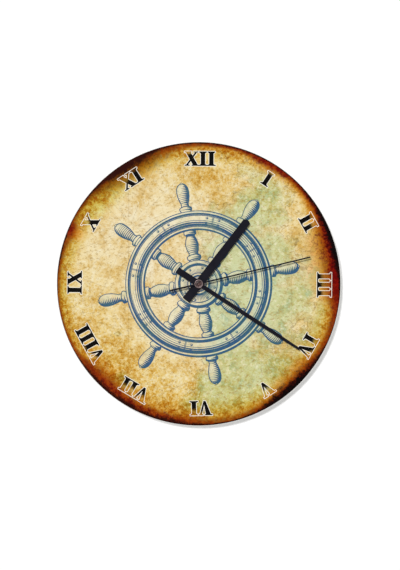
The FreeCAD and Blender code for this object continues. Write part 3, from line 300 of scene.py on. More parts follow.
@dataclass
class Effects:
    """Shader node groups that more than one finish uses, each built when first asked for."""

    # Height of the shore line in the land's noise; right, up and number of lines of each point
    # that course lines run out from
    shore_level: float = 0.515
    course_points: tuple[tuple[float, float, float], ...] = (
        (-74.0, 58.0, 16.0), (66.0, -72.0, 16.0), (98.0, 62.0, 8.0))
    # Radius at which the burns start, and the most that they reach inwards
    burnt_edge: float = 149.4
    deepest: float = 40.0
    # Depth of the black, the red and the amber rim at the hours of the dial
    black_rim: Hours = field(default_factory=lambda: {
        6: 2.4, 6.5: 3.6, 7: 4.0, 7.5: 3.8, 8: 0.8, 8.5: 0.5, 9: 0.6, 9.5: 1.7, 10: 0.8, 10.5: 3.0,
        11: 9.5, 11.5: 2.4, 12: 1.3, 0.6: 1.6, 1: 1.1, 1.5: 1.7, 2: 4.9, 2.5: 7.2, 3: 1.8,
        3.5: 0.6, 4: 2.4, 4.5: 8.6, 5: 5.0, 5.5: 1.3})
    red_rim: Hours = field(default_factory=lambda: {
        6: 9.0, 6.5: 9.5, 7: 11.0, 7.5: 15.0, 8: 4.5, 8.5: 2.4, 9: 3.4, 9.5: 5.5, 9.75: 9.5,
        10: 4.0, 10.5: 14.0, 11: 19.0, 11.5: 13.0, 12: 4.6, 0.6: 4.2, 1: 8.0, 1.5: 5.0, 2: 9.0,
        2.5: 18.0, 3: 19.0, 3.5: 6.5, 4: 7.0, 4.5: 11.5, 5: 7.5, 5.5: 6.0})
    amber_rim: Hours = field(default_factory=lambda: {
        6: 31.0, 6.5: 31.0, 7: 27.0, 7.5: 39.0, 8: 23.0, 8.5: 17.0, 9: 20.0, 9.5: 25.0, 10: 31.0,
        10.5: 38.0, 11: 33.0, 11.5: 27.0, 12: 24.0, 0.6: 21.5, 1: 17.5, 1.5: 14.0, 2: 25.0,
        2.5: 28.0, 3: 30.0, 3.5: 30.0, 4: 30.0, 4.5: 31.0, 5: 31.0, 5.5: 31.0})
    # How golden the paper is inside the rim, how red or brown the rim, how black its burns
    golden: Hours = field(default_factory=lambda: {
        6: 0.5, 7: 0.55, 8: 0.4, 9: 0.2, 10: 0.04, 11: 0.04, 12: 0.3, 1: 0.22, 2: 0.18, 3: 0.1,
        4: 0.14, 4.5: 0.24, 5: 0.16})
    crimson: Hours = field(default_factory=lambda: {
        6: 0.3, 7: 0.3, 7.5: 0.4, 8: 0.2, 9: 0.0, 9.6: 0.0, 9.75: 0.8, 9.9: 0.0, 10.5: 0.0,
        11: 0.0, 11.5: 0.0, 12: 0.3, 1: 0.5, 1.5: 0.6, 2: 0.9, 3: 1.0, 3.5: 0.3, 4: 0.5, 4.5: 0.8,
        5: 0.6, 5.5: 0.35})
    brown: Hours = field(default_factory=lambda: {
        6: 0.3, 7: 0.0, 8: 0.2, 8.5: 0.4, 9: 0.5, 9.6: 0.5, 9.75: 0.0, 9.9: 0.7, 10: 0.8, 11: 1.0,
        11.5: 0.5, 12: 0.2, 1: 0.0, 3: 0.0, 3.5: 0.1, 4: 0.3, 4.5: 0.0, 5: 0.3, 5.5: 0.5})
    sooty: Hours = field(default_factory=lambda: {
        6: 0.3, 7: 0.25, 7.5: 0.2, 8: 0.1, 9: 0.1, 10: 0.2, 10.5: 0.1, 11: 0.15, 12: 0.1, 1: 0.3,
        2: 0.8, 2.5: 1.0, 3: 0.6, 4: 0.6, 4.5: 1.0, 5: 0.8, 5.5: 0.4})

    @cached_property
    def mottle(self) -> Tree:
        """Colour that drifts to a second one in soft clouds.

        Returns:
            The group's tree.
        """
        group = Group.new("mottle", "ShaderNodeTree", {
            "Place": (VECTOR, None), "Colour": (COLOUR, BLACK), "Second": (COLOUR, BLACK),
            "Scale": (FLOAT, 100.0), "Strength": (FLOAT, 0.5), "Seed": (FLOAT, 0.0)},
            {"Colour": COLOUR})
        w = group.wiring
        cloud = w.cloud(group["Place"], group["Scale"], 4.0, 0.62, group["Seed"])
        mask = w.times(w.step(cloud, 0.36, 0.66), group["Strength"])
        return group.give(Colour=w.blend(mask, group["Colour"], group["Second"]))

    @cached_property
    def grain(self) -> Tree:
        """Fine relief for a Bump node: moulding texture with a slower swell under it.

        Returns:
            The group's tree.
        """
        group = Group.new("grain", "ShaderNodeTree", {
            "Place": (VECTOR, None), "Scale": (FLOAT, 2000.0), "Seed": (FLOAT, 0.0)},
            {"Height": FLOAT})
        w = group.wiring
        place, scale, seed = group["Place"], group["Scale"], group["Seed"]
        fine = w.cloud(place, scale, 2.0, 0.6, seed)
        slow = w.cloud(place, w.times(scale, 0.08), 1.0, seed=seed)
        return group.give(Height=w.plus(fine, w.times(slow, 0.8)))

    @cached_property
    def handling(self) -> Tree:
        """Roughness with rubbed patches and thin scratches, and a mask of the rubbing.

        Returns:
            The group's tree.
        """
        group = Group.new("handling", "ShaderNodeTree", {
            "Place": (VECTOR, None), "Roughness": (FLOAT, 0.5), "Spread": (FLOAT, 0.1),
            "Scale": (FLOAT, 60.0)}, {"Roughness": FLOAT, "Worn": FLOAT})
        w = group.wiring
        patch = w.cloud(group["Place"], group["Scale"], 4.0, 0.6)
        stretched = w.vector("MULTIPLY", group["Place"], (0.16, 1.0, 1.0))
        hair = w.cloud(stretched, w.times(group["Scale"], 22.0), 2.0)
        scratch = w.step(hair, 0.66, 0.74)
        swing = w.minus(w.plus(patch, w.times(scratch, 0.5)), 0.5)
        rough = w.plus(group["Roughness"], w.times(swing, w.times(group["Spread"], 2.0)))
        worn = w.times(w.step(patch, 0.5, 0.72), w.plus(0.6, scratch), clamp=True)
        return group.give(Roughness=w.math("MAXIMUM", rough, 0.04), Worn=worn)

    @cached_property
    def brushed(self) -> Tree:
        """Fine turning marks round the hands' axis, for turned metal.

        Returns:
            The group's tree.
        """
        group = Group.new("brushed", "ShaderNodeTree", {
            "Place": (VECTOR, None), "Pitch": (FLOAT, 0.00008)}, {"Height": FLOAT, "Mask": FLOAT})
        w = group.wiring
        x, y, z = w.separate(group["Place"])
        reach = w.length(w.combine(x, 0.0, z))
        turn = w.math("ARCTAN2", x, z)
        rings, depths = (w.math("DIVIDE", value, group["Pitch"]) for value in (reach, y))
        line = w.cloud(w.combine(rings, w.times(turn, 1.4), depths), 1.0, 1.0)
        return group.give(Height=line, Mask=w.step(line, 0.35, 0.65))

    @cached_property
    def sun_lines(self) -> Tree:
        """Thin straight lines that run out evenly from one point of the chart.

        Returns:
            The group's tree.
        """
        group = Group.new("sun_lines", "ShaderNodeTree", {
            "Right": (FLOAT, 0.0), "Up": (FLOAT, 0.0), "Middle Right": (FLOAT, 0.0),
            "Middle Up": (FLOAT, 0.0), "Count": (FLOAT, 16.0), "Half Width": (FLOAT, 0.2)},
            {"Mask": FLOAT})
        w = group.wiring
        across = w.minus(group["Right"], group["Middle Right"])
        up = w.minus(group["Up"], group["Middle Up"])
        reach = w.length(w.combine(across, up, 0.0))
        turn = w.times(w.math("ARCTAN2", across, up), w.math("DIVIDE", group["Count"], 2 * math.pi))
        off = w.math("ABSOLUTE", w.minus(w.math("FRACT", turn), 0.5))
        near = w.minus(0.5, off)
        spread = w.math("DIVIDE", w.times(reach, 2 * math.pi), group["Count"])
        distance = w.times(near, spread)
        sharp = w.times(group["Half Width"], 0.5)
        soft = w.times(group["Half Width"], 1.8)
        line = w.minus(1.0, w.step(distance, sharp, soft))
        return group.give(Mask=w.times(line, w.step(reach, 4.0, 9.0)))

    @cached_property
    def aged_ground(self) -> Tree:
        """The scorched parchment of the dial with its plain sea, coast and course lines.

        Returns:
            The group's tree.
        """
        group = Group.new("aged_ground", "ShaderNodeTree", {"Place": (VECTOR, None)},
                          {"Colour": COLOUR, "Grain": FLOAT})
        w = group.wiring
        flat = w.plan(group["Place"])
        x, _, z = w.separate(flat)
        reach = w.length(flat)
        turn = w.plus(w.math("DIVIDE", w.math("ARCTAN2", x, z), 2 * math.pi), 0.5)

        large = w.noise(flat, 48.0, 3.1, 3.0)
        middle = w.noise(flat, 13.0, 7.7, 5.0, 0.66)
        small = w.noise(flat, 4.2, 1.9, 5.0, 0.76)
        grit = w.noise(flat, 2.6, 14.2, 3.0, 0.75)
        fibre = w.noise(w.vector("MULTIPLY", flat, (0.6, 1.0, 1.0)), 2.0, 5.3, 2.0, 0.7)

        tone = w.plus(w.times(large, 0.4), w.times(middle, 0.6))
        paper = w.blend(w.step(tone, 0.4, 0.6), srgb(243, 226, 182), srgb(229, 199, 134))
        gold = w.times(w.curve(turn, hour_curve(self.golden)),
                       w.times(w.step(reach, 62.0, 122.0), w.plus(0.2, w.times(large, 1.6))))
        bleach = w.times(w.step(w.noise(flat, 30.0, 12.4, 4.0), 0.48, 0.64), 0.66)
        paper = w.blend(bleach, paper, srgb(244, 234, 204))

        sea, shore, echo = self.chart(w, flat, x, z)
        sea = w.times(sea, w.step(reach, 146.0, 124.0))
        paper = w.blend(w.times(sea, 0.6), paper, srgb(183, 206, 150))
        deep = w.times(w.times(sea, w.step(middle, 0.47, 0.62)), 0.5)
        paper = w.blend(deep, paper, srgb(146, 188, 158))

        rust = w.times(w.step(small, 0.48, 0.64), w.step(middle, 0.42, 0.6))
        paper = w.blend(w.times(rust, 0.52), paper, srgb(194, 150, 70))
        pale = w.times(w.step(small, 0.5, 0.34), 0.68)
        paper = w.blend(pale, paper, srgb(248, 240, 210))
        speck = w.times(w.step(fibre, 0.52, 0.68), 0.58)
        paper = w.blend(speck, paper, srgb(170, 136, 64))

        courses = self.courses(w, x, z)
        lines = w.math("MAXIMUM", w.times(shore, 0.4), w.math("MAXIMUM", w.times(echo, 0.2),
                                                              w.times(courses, 0.3)))
        faded = w.times(lines, w.plus(0.45, middle), clamp=True)
        paper = w.blend(faded, paper, srgb(112, 84, 48))

        colour = self.scorched(w, paper, gold, reach, turn, (middle, small, grit))
        grain = w.plus(w.times(fibre, 0.6), w.times(small, 0.4))
        return group.give(Colour=colour, Grain=grain)

    def chart(self, w: Wiring, flat: Socket, x: Socket, z: Socket) -> tuple[Socket, Socket, Socket]:
        """Masks of the chart's sea, of its shore line and of the fine lines that follow it.

        Args:
            w: Wiring of the ground's group.
            flat: Place in millimetres.
            x: How far right that is.
            z: How far up.

        Returns:
            The three masks.
        """
        wander = w.add("ShaderNodeTexNoise", {"Vector": flat, "Scale": 1 / 30, "Detail": 3.0})
        shift = w.vector("MULTIPLY", wander.outputs["Color"], (22.0, 0.0, 22.0))
        land = w.noise(w.vector("ADD", flat, shift), 84.0, 21.7, 5.0, 0.56)
        lean = w.plus(w.times(x, 0.0006), w.times(z, -0.0004))
        level = w.minus(w.plus(land, lean), self.shore_level)
        sea = w.step(level, -0.035, 0.075)
        shore = w.minus(1.0, w.step(w.math("ABSOLUTE", level), 0.0016, 0.0042))
        wave = w.math("PINGPONG", w.minus(level, 0.012), 0.006)
        fine = w.minus(1.0, w.step(wave, 0.0006, 0.0018))
        close = w.times(w.step(level, 0.008, 0.011), w.step(level, 0.05, 0.03))
        return sea, shore, w.times(fine, close)

    def courses(self, w: Wiring, x: Socket, z: Socket) -> Socket:
        """Mask of the course lines of the chart.

        Args:
            w: Wiring of the ground's group.
            x: How far right the place is, in millimetres.
            z: How far up.

        Returns:
            The mask.
        """
        mask, *others = [w.use(self.sun_lines, {
            "Right": x, "Up": z, "Middle Right": right, "Middle Up": up, "Count": count,
            "Half Width": 0.17}).outputs["Mask"] for right, up, count in self.course_points]
        for other in others:
            mask = w.math("MAXIMUM", mask, other)
        return mask

    def scorched(self, w: Wiring, paper: Socket, gold: Socket, reach: Socket, turn: Socket,
                 noises: tuple[Socket, Socket, Socket]) -> Socket:
        """Toast the paper towards its rim, then lay the rim's red and black over it.

        Args:
            w: Wiring of the ground's group.
            paper: Colour of the paper.
            gold: How far the paper is toasted already.
            reach: Distance from the dial's centre in millimetres.
            turn: Share of a turn, clockwise from VI.
            noises: Noises of the size of a thumbnail, a grain of rice and a pinhead.

        Returns:
            The colour with its rim.
        """
        middle, small, grit = noises
        inward = w.minus(self.burnt_edge, reach)
        ragged = w.plus(w.times(w.minus(middle, 0.5), 2.6), w.times(w.minus(small, 0.5), 3.6))
        ragged = w.plus(ragged, w.times(w.minus(grit, 0.5), 3.0))
        spark = w.plus(0.3, w.times(w.step(grit, 0.4, 0.6), 1.4))

        def share(depths: Hours, sway: float) -> Socket:
            """Distance from the edge as a share of a rim's depth, with a ragged inner end."""
            depth = w.times(w.curve(turn, hour_curve(depths, self.deepest)), self.deepest)
            return w.plus(w.math("DIVIDE", inward, depth), w.times(ragged, sway))

        near = w.minus(1.0, share(self.amber_rim, 0.12), clamp=True)
        toast = w.plus(gold, w.times(w.math("POWER", near, 1.7), 1.75))
        uneven = w.plus(w.times(w.step(small, 0.4, 0.62), 0.7),
                        w.times(w.step(middle, 0.4, 0.6), 0.6))
        toast = w.times(toast, spark)
        toast = w.plus(w.times(toast, w.plus(0.36, uneven)), w.times(w.times(near, near), 0.5))
        passed = [w.math("POWER", share_left, toast) for share_left in (0.76, 0.52, 0.13)]
        colour = w.vector("MULTIPLY", paper, w.combine(*passed))
        rust = w.times(w.step(small, 0.52, 0.64), w.step(near, 0.12, 0.6))
        colour = w.blend(w.times(rust, 0.5), colour, srgb(166, 82, 14))

        brown = w.curve(turn, hour_curve(self.brown))
        colour = w.blend(w.times(w.step(near, 0.15, 0.7), brown), colour, OLIVE, "MULTIPLY")
        speckle = w.step(small, 0.44, 0.6)
        crimson = w.curve(turn, hour_curve(self.crimson))
        red_share = share(self.red_rim, 0.5)
        red = w.step(red_share, 1.25, 0.4)
        colour = w.blend(w.times(red, brown), colour, w.blend(speckle, UMBER, TAN), "MULTIPLY")
        colour = w.blend(w.times(w.step(red_share, 2.1, 1.0), crimson), colour,
                         RED_FRINGE, "MULTIPLY")
        red_tone = w.blend(crimson, w.blend(speckle, srgb(112, 16, 3), srgb(158, 66, 6)),
                           w.blend(speckle, srgb(102, 2, 1), srgb(134, 12, 3)))
        colour = w.blend(w.times(red, w.minus(1.0, brown)), colour, red_tone)
        black_share = share(self.black_rim, 0.6)
        colour = w.blend(w.times(w.step(black_share, 3.4, 1.0), brown), colour,
                         BROWN_FRINGE, "MULTIPLY")
        soot = w.blend(w.curve(turn, hour_curve(self.sooty)), srgb(48, 12, 5), srgb(6, 1, 1))
        return w.blend(w.step(black_share, 1.6, 0.4), colour, soot)


# Finishes

MATT_SPECULAR = 0.02


class Grain(Enum):
    """Kinds of fine relief on a surface."""

    MOULDED = "moulded"
    TURNED = "turned"


@dataclass(frozen=True)
class Finish:
    """A plain material of one piece: its colours on the screen, sheen, wear and relief."""

    slot: str
    colour: Shade
    second: Shade
    worn: Shade
    roughness: float
    spread: float = 0.1
    metallic: float = 0.0
    specular: float = 0.5
    # Sizes and depths in mm, shares from 0 to 1
    mottle_size: float = 9.0
    mottle_share: float = 0.5
    wear_share: float = 0.25
    grain: Grain = Grain.MOULDED
    grain_size: float = 0.35
    grain_depth: float = 0.012
    seed: float = 0.0

    def material(self, effects: Effects) -> Material:
        """The finish as a Blender material.

        Args:
            effects: The shared node groups.

        Returns:
            A new material named after the finish's slot.
        """
        made, w, shader = blank_material(self.slot)
        place = w.place()
        mottle = w.use(effects.mottle, {
            "Place": place, "Colour": srgb(*self.colour), "Second": srgb(*self.second),
            "Scale": 1 / (self.mottle_size * MM), "Strength": self.mottle_share,
            "Seed": self.seed})
        handling = w.use(effects.handling, {
            "Place": place, "Roughness": self.roughness, "Spread": self.spread,
            "Scale": 1 / (self.mottle_size * 1.6 * MM)})
        colour = w.blend(w.times(handling.outputs["Worn"], self.wear_share),
                         mottle.outputs["Colour"], srgb(*self.worn))
        if self.grain is Grain.TURNED:
            relief = w.use(effects.brushed, {"Place": place, "Pitch": self.grain_size * MM})
        else:
            relief = w.use(effects.grain, {"Place": place, "Scale": 1 / (self.grain_size * MM),
                                           "Seed": self.seed})
        w.feed(shader, {"Base Color": colour, "Roughness": handling.outputs["Roughness"],
                        "Normal": w.bump(relief.outputs["Height"], 0.6, self.grain_depth),
                        "Metallic": self.metallic, "Specular IOR Level": self.specular})
        return made


def emptied(owner: Material | bpy.types.World) -> Wiring:
    """Clear the node tree of a material or world.

    Args:
        owner: What has the tree.

    Returns:
        Wiring for it.
    """
    owner.use_nodes = True
    owner.node_tree.nodes.clear()
    return Wiring(owner.node_tree)


def blank_material(name: str) -> tuple[Material, Wiring, Node]:
    """A material with one Principled shader.

    Args:
        name: Name of the material.

    Returns:
        The material, wiring for its tree, and the shader.
    """
    made = bpy.data.materials.new(name)
    w = emptied(made)
    shader = w.add("ShaderNodeBsdfPrincipled")
    w.add("ShaderNodeOutputMaterial", {"Surface": shader.outputs[0]})
    return made, w, shader


@dataclass(frozen=True)
class PrintFinish:
    """Ink on the dial's film: a tint laid over the same scorched ground that lies under it."""

    name: str
    tint: Shade
    second: Shade
    cover: float
    uneven: float
    roughness: float = 0.55
    fade: bool = False

    def material(self, effects: Effects) -> Material:
        """The print as a Blender material.

        Args:
            effects: The shared node groups.

        Returns:
            A new material.
        """
        made, w, shader = blank_material(self.name)
        place = w.place()
        ground = w.use(effects.aged_ground, {"Place": place})
        flat = w.plan(place)
        patch = w.noise(flat, 9.0, 4.4, 5.0, 0.7)
        speck = w.noise(flat, 2.2, 9.1, 3.0, 0.7)
        tint = w.blend(w.step(patch, 0.4, 0.62), srgb(*self.tint), srgb(*self.second))
        worn = w.plus(w.times(w.step(speck, 0.56, 0.76), 0.6),
                      w.times(w.step(patch, 0.54, 0.74), 0.4))
        cover = w.minus(self.cover, w.times(worn, self.uneven), clamp=True)
        if self.fade:
            cover = w.times(cover, self.fading(w, flat, patch, speck))
        colour = w.blend(cover, ground.outputs["Colour"], tint)
        rough = w.plus(w.times(speck, 0.2), self.roughness - 0.1)
        w.feed(shader, {"Base Color": colour, "Roughness": rough,
                        "Normal": w.bump(ground.outputs["Grain"], 0.3, 0.02),
                        "Specular IOR Level": MATT_SPECULAR})
        return made

    def fading(self, w: Wiring, flat: Socket, patch: Socket, speck: Socket) -> Socket:
        """Share of the ink that is left, from the foot of a numeral to its top.

        Args:
            w: Wiring of the material.
            flat: Place in millimetres.
            patch: Noise of the size of a thumbnail.
            speck: Fine noise.

        Returns:
            One where the ink is whole and zero where the ground shows.
        """
        end = w.add("ShaderNodeAttribute", attribute_name="ink_end").outputs["Fac"]
        reach = w.length(flat)
        ragged = w.plus(w.times(w.minus(speck, 0.5), 4.0), w.times(w.minus(patch, 0.5), 5.0))
        past = w.minus(w.plus(reach, ragged), end)
        return w.plus(w.times(w.step(past, 2.6, -2.0), 0.7), w.times(w.step(past, 8.0, -1.0), 0.3))


@dataclass(frozen=True)
class GroundFinish:
    """The bare printed film: scorched parchment under a matt skin."""

    def material(self, effects: Effects) -> Material:
        """The film as a Blender material.

        Args:
            effects: The shared node groups.

        Returns:
            A new material.
        """
        made, w, shader = blank_material("printed_film")
        place = w.place()
        ground = w.use(effects.aged_ground, {"Place": place})
        handling = w.use(effects.handling, {"Place": place, "Roughness": 0.52, "Spread": 0.08,
                                            "Scale": 26.0})
        w.feed(shader, {"Base Color": ground.outputs["Colour"],
                        "Roughness": handling.outputs["Roughness"],
                        "Normal": w.bump(ground.outputs["Grain"], 0.4, 0.03),
                        "Specular IOR Level": MATT_SPECULAR})
        return made


@dataclass(frozen=True)
class CapFinish:
    """The centre cap: bright rim round a bowl whose dark brown is a painted reflection of dark
    surroundings.
    """

    rim: Colour = srgb(104, 90, 90)
    # Painted reflection: the bowl's dark brown stands in for a polished cap mirroring dark
    # surroundings
    bowl: Colour = srgb(44, 26, 25)
    spot: Colour = srgb(120, 90, 88)

    def material(self, effects: Effects) -> Material:
        """The cap as a Blender material.

        Args:
            effects: The shared node groups.

        Returns:
            A new material.
        """
        made, w, shader = blank_material("polished_cap")
        place = w.place()
        reach = w.length(w.plan(place))
        cap_mottle = w.noise(place, 1.6 * MM, 2.2, 4.0, 0.65)
        # Painted reflection: dark brown bowl, with lighter random patches where the mottle is high
        bowl = w.blend(w.step(cap_mottle, 0.46, 0.64), self.bowl, self.spot)
        edge = w.step(w.plus(reach, w.times(cap_mottle, 0.5)), 3.7, 4.15)
        brushed = w.use(effects.brushed, {"Place": place, "Pitch": 0.11 * MM})
        colour = w.blend(edge, bowl, self.rim)
        rough = w.plus(0.2, w.times(brushed.outputs["Mask"], 0.1))
        w.feed(shader, {"Base Color": colour, "Roughness": w.plus(rough, w.times(cap_mottle, 0.14)),
                        "Metallic": w.times(edge, 0.6),
                        "Normal": w.bump(brushed.outputs["Height"], 0.4, 0.004),
                        "Specular IOR Level": 0.2})
        return made


@dataclass(frozen=True)
class WrapFinish:
    """The battery's printed sleeve: two plain colours that meet near its positive end."""

    meeting: float = 12.0
    middle: float = -0.6
    half_length: float = 23.1

    def material(self, effects: Effects) -> Material:
        """The sleeve as a Blender material.

        Args:
            effects: The shared node groups.

        Returns:
            A new material.
        """
        made, w, shader = blank_material("battery_can")
        place = w.place()
        x, _, _ = w.separate(w.plan(place))
        cloud = w.step(w.noise(place, 4.0 * MM, 8.8, 4.0, 0.6), 0.4, 0.65)
        side = w.step(x, self.meeting, self.meeting + 0.2)
        off_line = w.math("ABSOLUTE", w.minus(x, self.meeting))
        line = w.minus(1.0, w.step(off_line, 0.35, 0.45))
        body = w.blend(cloud, srgb(58, 84, 138), srgb(48, 72, 124))
        band = w.blend(cloud, srgb(176, 180, 184), srgb(158, 162, 168))
        ends = w.step(w.math("ABSOLUTE", w.minus(x, self.middle)), self.half_length,
                      self.half_length + 0.2)
        colour = w.blend(line, w.blend(side, body, band), srgb(222, 222, 218))
        colour = w.blend(ends, colour, srgb(190, 190, 188))
        handling = w.use(effects.handling, {"Place": place, "Roughness": 0.32, "Spread": 0.12,
                                            "Scale": 90.0})
        grain = w.use(effects.grain, {"Place": place, "Scale": 900.0, "Seed": 1.0})
        w.feed(shader, {"Base Color": colour, "Roughness": handling.outputs["Roughness"],
                        "Metallic": w.math("MAXIMUM", w.times(side, 0.5), ends),
                        "Normal": w.bump(grain.outputs["Height"], 0.3, 0.01)})
        return made


PLAIN_FINISHES = (
    Finish("white_board", (238, 237, 233), (228, 226, 219), (206, 203, 195), 0.5,
           mottle_size=26.0, mottle_share=0.55, wear_share=0.3, grain_size=0.5, grain_depth=0.02,
           specular=0.35, seed=1.0),
    Finish("case_plastic", (38, 38, 40), (48, 48, 51), (88, 88, 90), 0.46,
           mottle_size=14.0, wear_share=0.22, grain_size=0.28, grain_depth=0.03, specular=0.4,
           seed=2.0),
    Finish("natural_plastic", (228, 222, 206), (216, 208, 188), (200, 190, 168), 0.4,
           mottle_size=5.0, grain_size=0.3, grain_depth=0.008, seed=3.0),
    Finish("knob_plastic", (222, 220, 214), (208, 206, 198), (178, 174, 164), 0.42,
           mottle_size=4.0, wear_share=0.4, grain_size=0.22, grain_depth=0.02, seed=4.0),
    Finish("black_rubber", (24, 24, 25), (33, 33, 33), (62, 60, 58), 0.8,
           mottle_size=3.0, wear_share=0.35, grain_size=0.18, grain_depth=0.03, specular=0.25,
           seed=5.0),
    Finish("brass", (214, 176, 98), (190, 146, 74), (150, 104, 48), 0.28, 0.12, 1.0,
           mottle_size=3.0, grain=Grain.TURNED, grain_size=0.1, grain_depth=0.005, seed=6.0),
    Finish("nickel", (150, 147, 142), (132, 129, 124), (104, 96, 88), 0.56, 0.1, 0.6,
           specular=0.1, mottle_size=3.0, grain=Grain.TURNED, grain_size=0.09, grain_depth=0.006,
           seed=7.0),
    Finish("steel", (172, 172, 174), (150, 150, 152), (110, 104, 98), 0.3, 0.12, 1.0,
           mottle_size=2.0, grain=Grain.TURNED, grain_size=0.06, grain_depth=0.004, seed=8.0),
    Finish("magnet", (62, 58, 58), (80, 74, 72), (116, 106, 100), 0.55, 0.1, 0.35,
           mottle_size=1.6, grain_size=0.12, grain_depth=0.02, seed=9.0),
    Finish("soft_iron", (138, 138, 140), (116, 116, 120), (126, 96, 72), 0.42, 0.14,
           1.0, mottle_size=4.0, wear_share=0.35, grain_size=0.2, grain_depth=0.01, seed=10.0),
    Finish("bobbin_plastic", (214, 206, 184), (200, 190, 164), (180, 166, 138), 0.38,
           mottle_size=4.0, grain_size=0.2, grain_depth=0.008, seed=11.0),
    Finish("copper_wire", (190, 104, 62), (168, 84, 46), (120, 56, 34), 0.26, 0.1,
           0.95, mottle_size=1.5, grain_size=0.1, grain_depth=0.004, seed=12.0),
    Finish("board_laminate", (38, 96, 62), (52, 116, 74), (176, 138, 78), 0.34,
           mottle_size=2.2, mottle_share=0.8, wear_share=0.3, grain_size=0.25, grain_depth=0.01,
           seed=13.0),
    Finish("black_epoxy", (18, 18, 19), (28, 28, 29), (52, 52, 52), 0.22,
           mottle_size=1.4, grain_size=0.5, grain_depth=0.02, seed=14.0),
    Finish("black_paint", (20, 19, 28), (28, 28, 37), (52, 52, 60), 0.5, 0.08,
           mottle_size=11.0, mottle_share=0.6, wear_share=0.14, grain_size=0.16,
           grain_depth=0.006, specular=0.03, seed=15.0),
)

PRINTS = {
    "wheel_line": PrintFinish("wheel_line_ink", (38, 84, 128), (48, 96, 116), 0.97, 0.3),
    "wheel_wash": PrintFinish("wheel_wash_ink", (238, 230, 198), (204, 214, 192), 0.5, 0.3),
    "chart_line": PrintFinish("chart_line_ink", (108, 82, 46), (128, 98, 56), 0.62, 0.5),
    "numeral_fill": PrintFinish("numeral_ink", (8, 6, 6), (14, 12, 10), 1.0, 0.06, fade=True),
    "numeral_edge": PrintFinish("numeral_edge_ink", (255, 252, 240), (255, 246, 226), 0.96, 0.16),
}


@dataclass
class Palette:
    """Every material of the clock, by the record's slot or by the kind of print."""

    effects: Effects
    slots: dict[str, Material] = field(default_factory=dict)
    prints: dict[str, Material] = field(default_factory=dict)

    def __post_init__(self) -> None:
        """Make the materials."""
        for finish in PLAIN_FINISHES:
            self.slots[finish.slot] = finish.material(self.effects)
        self.slots["printed_film"] = GroundFinish().material(self.effects)
        self.slots["polished_cap"] = CapFinish().material(self.effects)
        self.slots["battery_can"] = WrapFinish().material(self.effects)
        for name, finish in PRINTS.items():
            self.prints[name] = finish.material(self.effects)

    def dress_nodes(self) -> None:
        """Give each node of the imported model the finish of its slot."""
        for name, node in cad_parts.items():
            for slot in node.material_slots:
                wanted = slot.material.name.split(".")[0]
                if wanted not in self.slots:
                    raise KeyError(f"{name} asks for {wanted}")
                slot.material = self.slots[wanted]
        LOG.info("finishes on %d carried-over nodes", len(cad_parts))


# Shapes

def in_plan(points: Array, depth: Array | float) -> Array:
    """Places in metres of points in plan, at one depth or one each."""
    depths = np.broadcast_to(np.asarray(depth, float), (len(points),))
    return np.stack([points[:, 0], -depths, points[:, 1]], axis=1) * MM


def mesh_of(name: str, bm: BMesh) -> bpy.types.Mesh:
    """Hand over a mesh under construction as a real one.

    Args:
        name: Name of the mesh.
        bm: What it holds. It is freed.

    Returns:
        The mesh.
    """
    mesh = bpy.data.meshes.new(name)
    bm.to_mesh(mesh)
    bm.free()
    return mesh


def face_out(bm: BMesh) -> None:
    """Turn the faces of every closed shell outwards, also after its points were moved."""
    bm.normal_update()
    bmesh.ops.recalc_face_normals(bm, faces=bm.faces)


def stand_out(bm: BMesh, depth: float, middle: Point = (0.0, 0.0)) -> None:
    """Turn a mesh that was built lying flat, so that its upright points away from the wall.

    Args:
        bm: The mesh, in metres.
        depth: Distance from the wall of what lay on the ground, in millimetres.
        middle: Right and up of its centre.
    """
    for vert in bm.verts:
        x, y, z = vert.co
        vert.co = (middle[0] * MM + x, -depth * MM - z, middle[1] * MM + y)
    face_out(bm)


def placed(name: str, data: bpy.types.ID) -> bpy.types.Object:
    """Put a new object into the scene.

    Args:
        name: Its name.
        data: Its mesh, lamp or camera.

    Returns:
        The object.
    """
    made = bpy.data.objects.new(name, data)
    bpy.context.scene.collection.objects.link(made)
    return made


def piece(name: str, bm: BMesh, palette: Palette, body: str, slot: str,
          ink: str | None = None, smooth: float | None = 35.0) -> bpy.types.Object:
    """Finish a mesh as a piece that rides on a body.

    Args:
        name: Name of the piece.
        bm: Its mesh, in place. It is freed.
        palette: The clock's materials.
        body: Body that it moves with.
        slot: The record's slot that it takes its finish from.
        ink: The kind of print that it is, if it is print.
        smooth: Largest angle in degrees that is shaded smooth, or None for flat shading.

    Returns:
        The new object.
    """
    mesh = mesh_of(name, bm)
    mesh.materials.append(palette.prints[ink] if ink else palette.slots[slot])
    mesh.polygons.foreach_set("use_smooth", [smooth is not None] * len(mesh.polygons))
    if smooth is not None:
        mesh.set_sharp_from_angle(angle=math.radians(smooth))
    made = placed(name, mesh)
    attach(made, body)
    LOG.info("%s: %d faces on %s", name, len(mesh.polygons), body)
    return made


def close_rings(bm: BMesh, rings: list[list[BMVert]]) -> None:
    """Join rings of equally many points into one shell, the last ring to the first.

    Args:
        bm: The mesh that they are in.
        rings: The rings in order. Points that coincide are the same point.
    """
    for index, ring in enumerate(rings):
        following = rings[(index + 1) % len(rings)]
        for step in range(len(ring)):
            after = (step + 1) % len(ring)
            corners = [ring[step], ring[after], following[after], following[step]]
            corners = [v for n, v in enumerate(corners) if v not in corners[:n]]
            if len(corners) > 2:
                bm.faces.new(corners)
    bmesh.ops.recalc_face_normals(bm, faces=bm.faces)


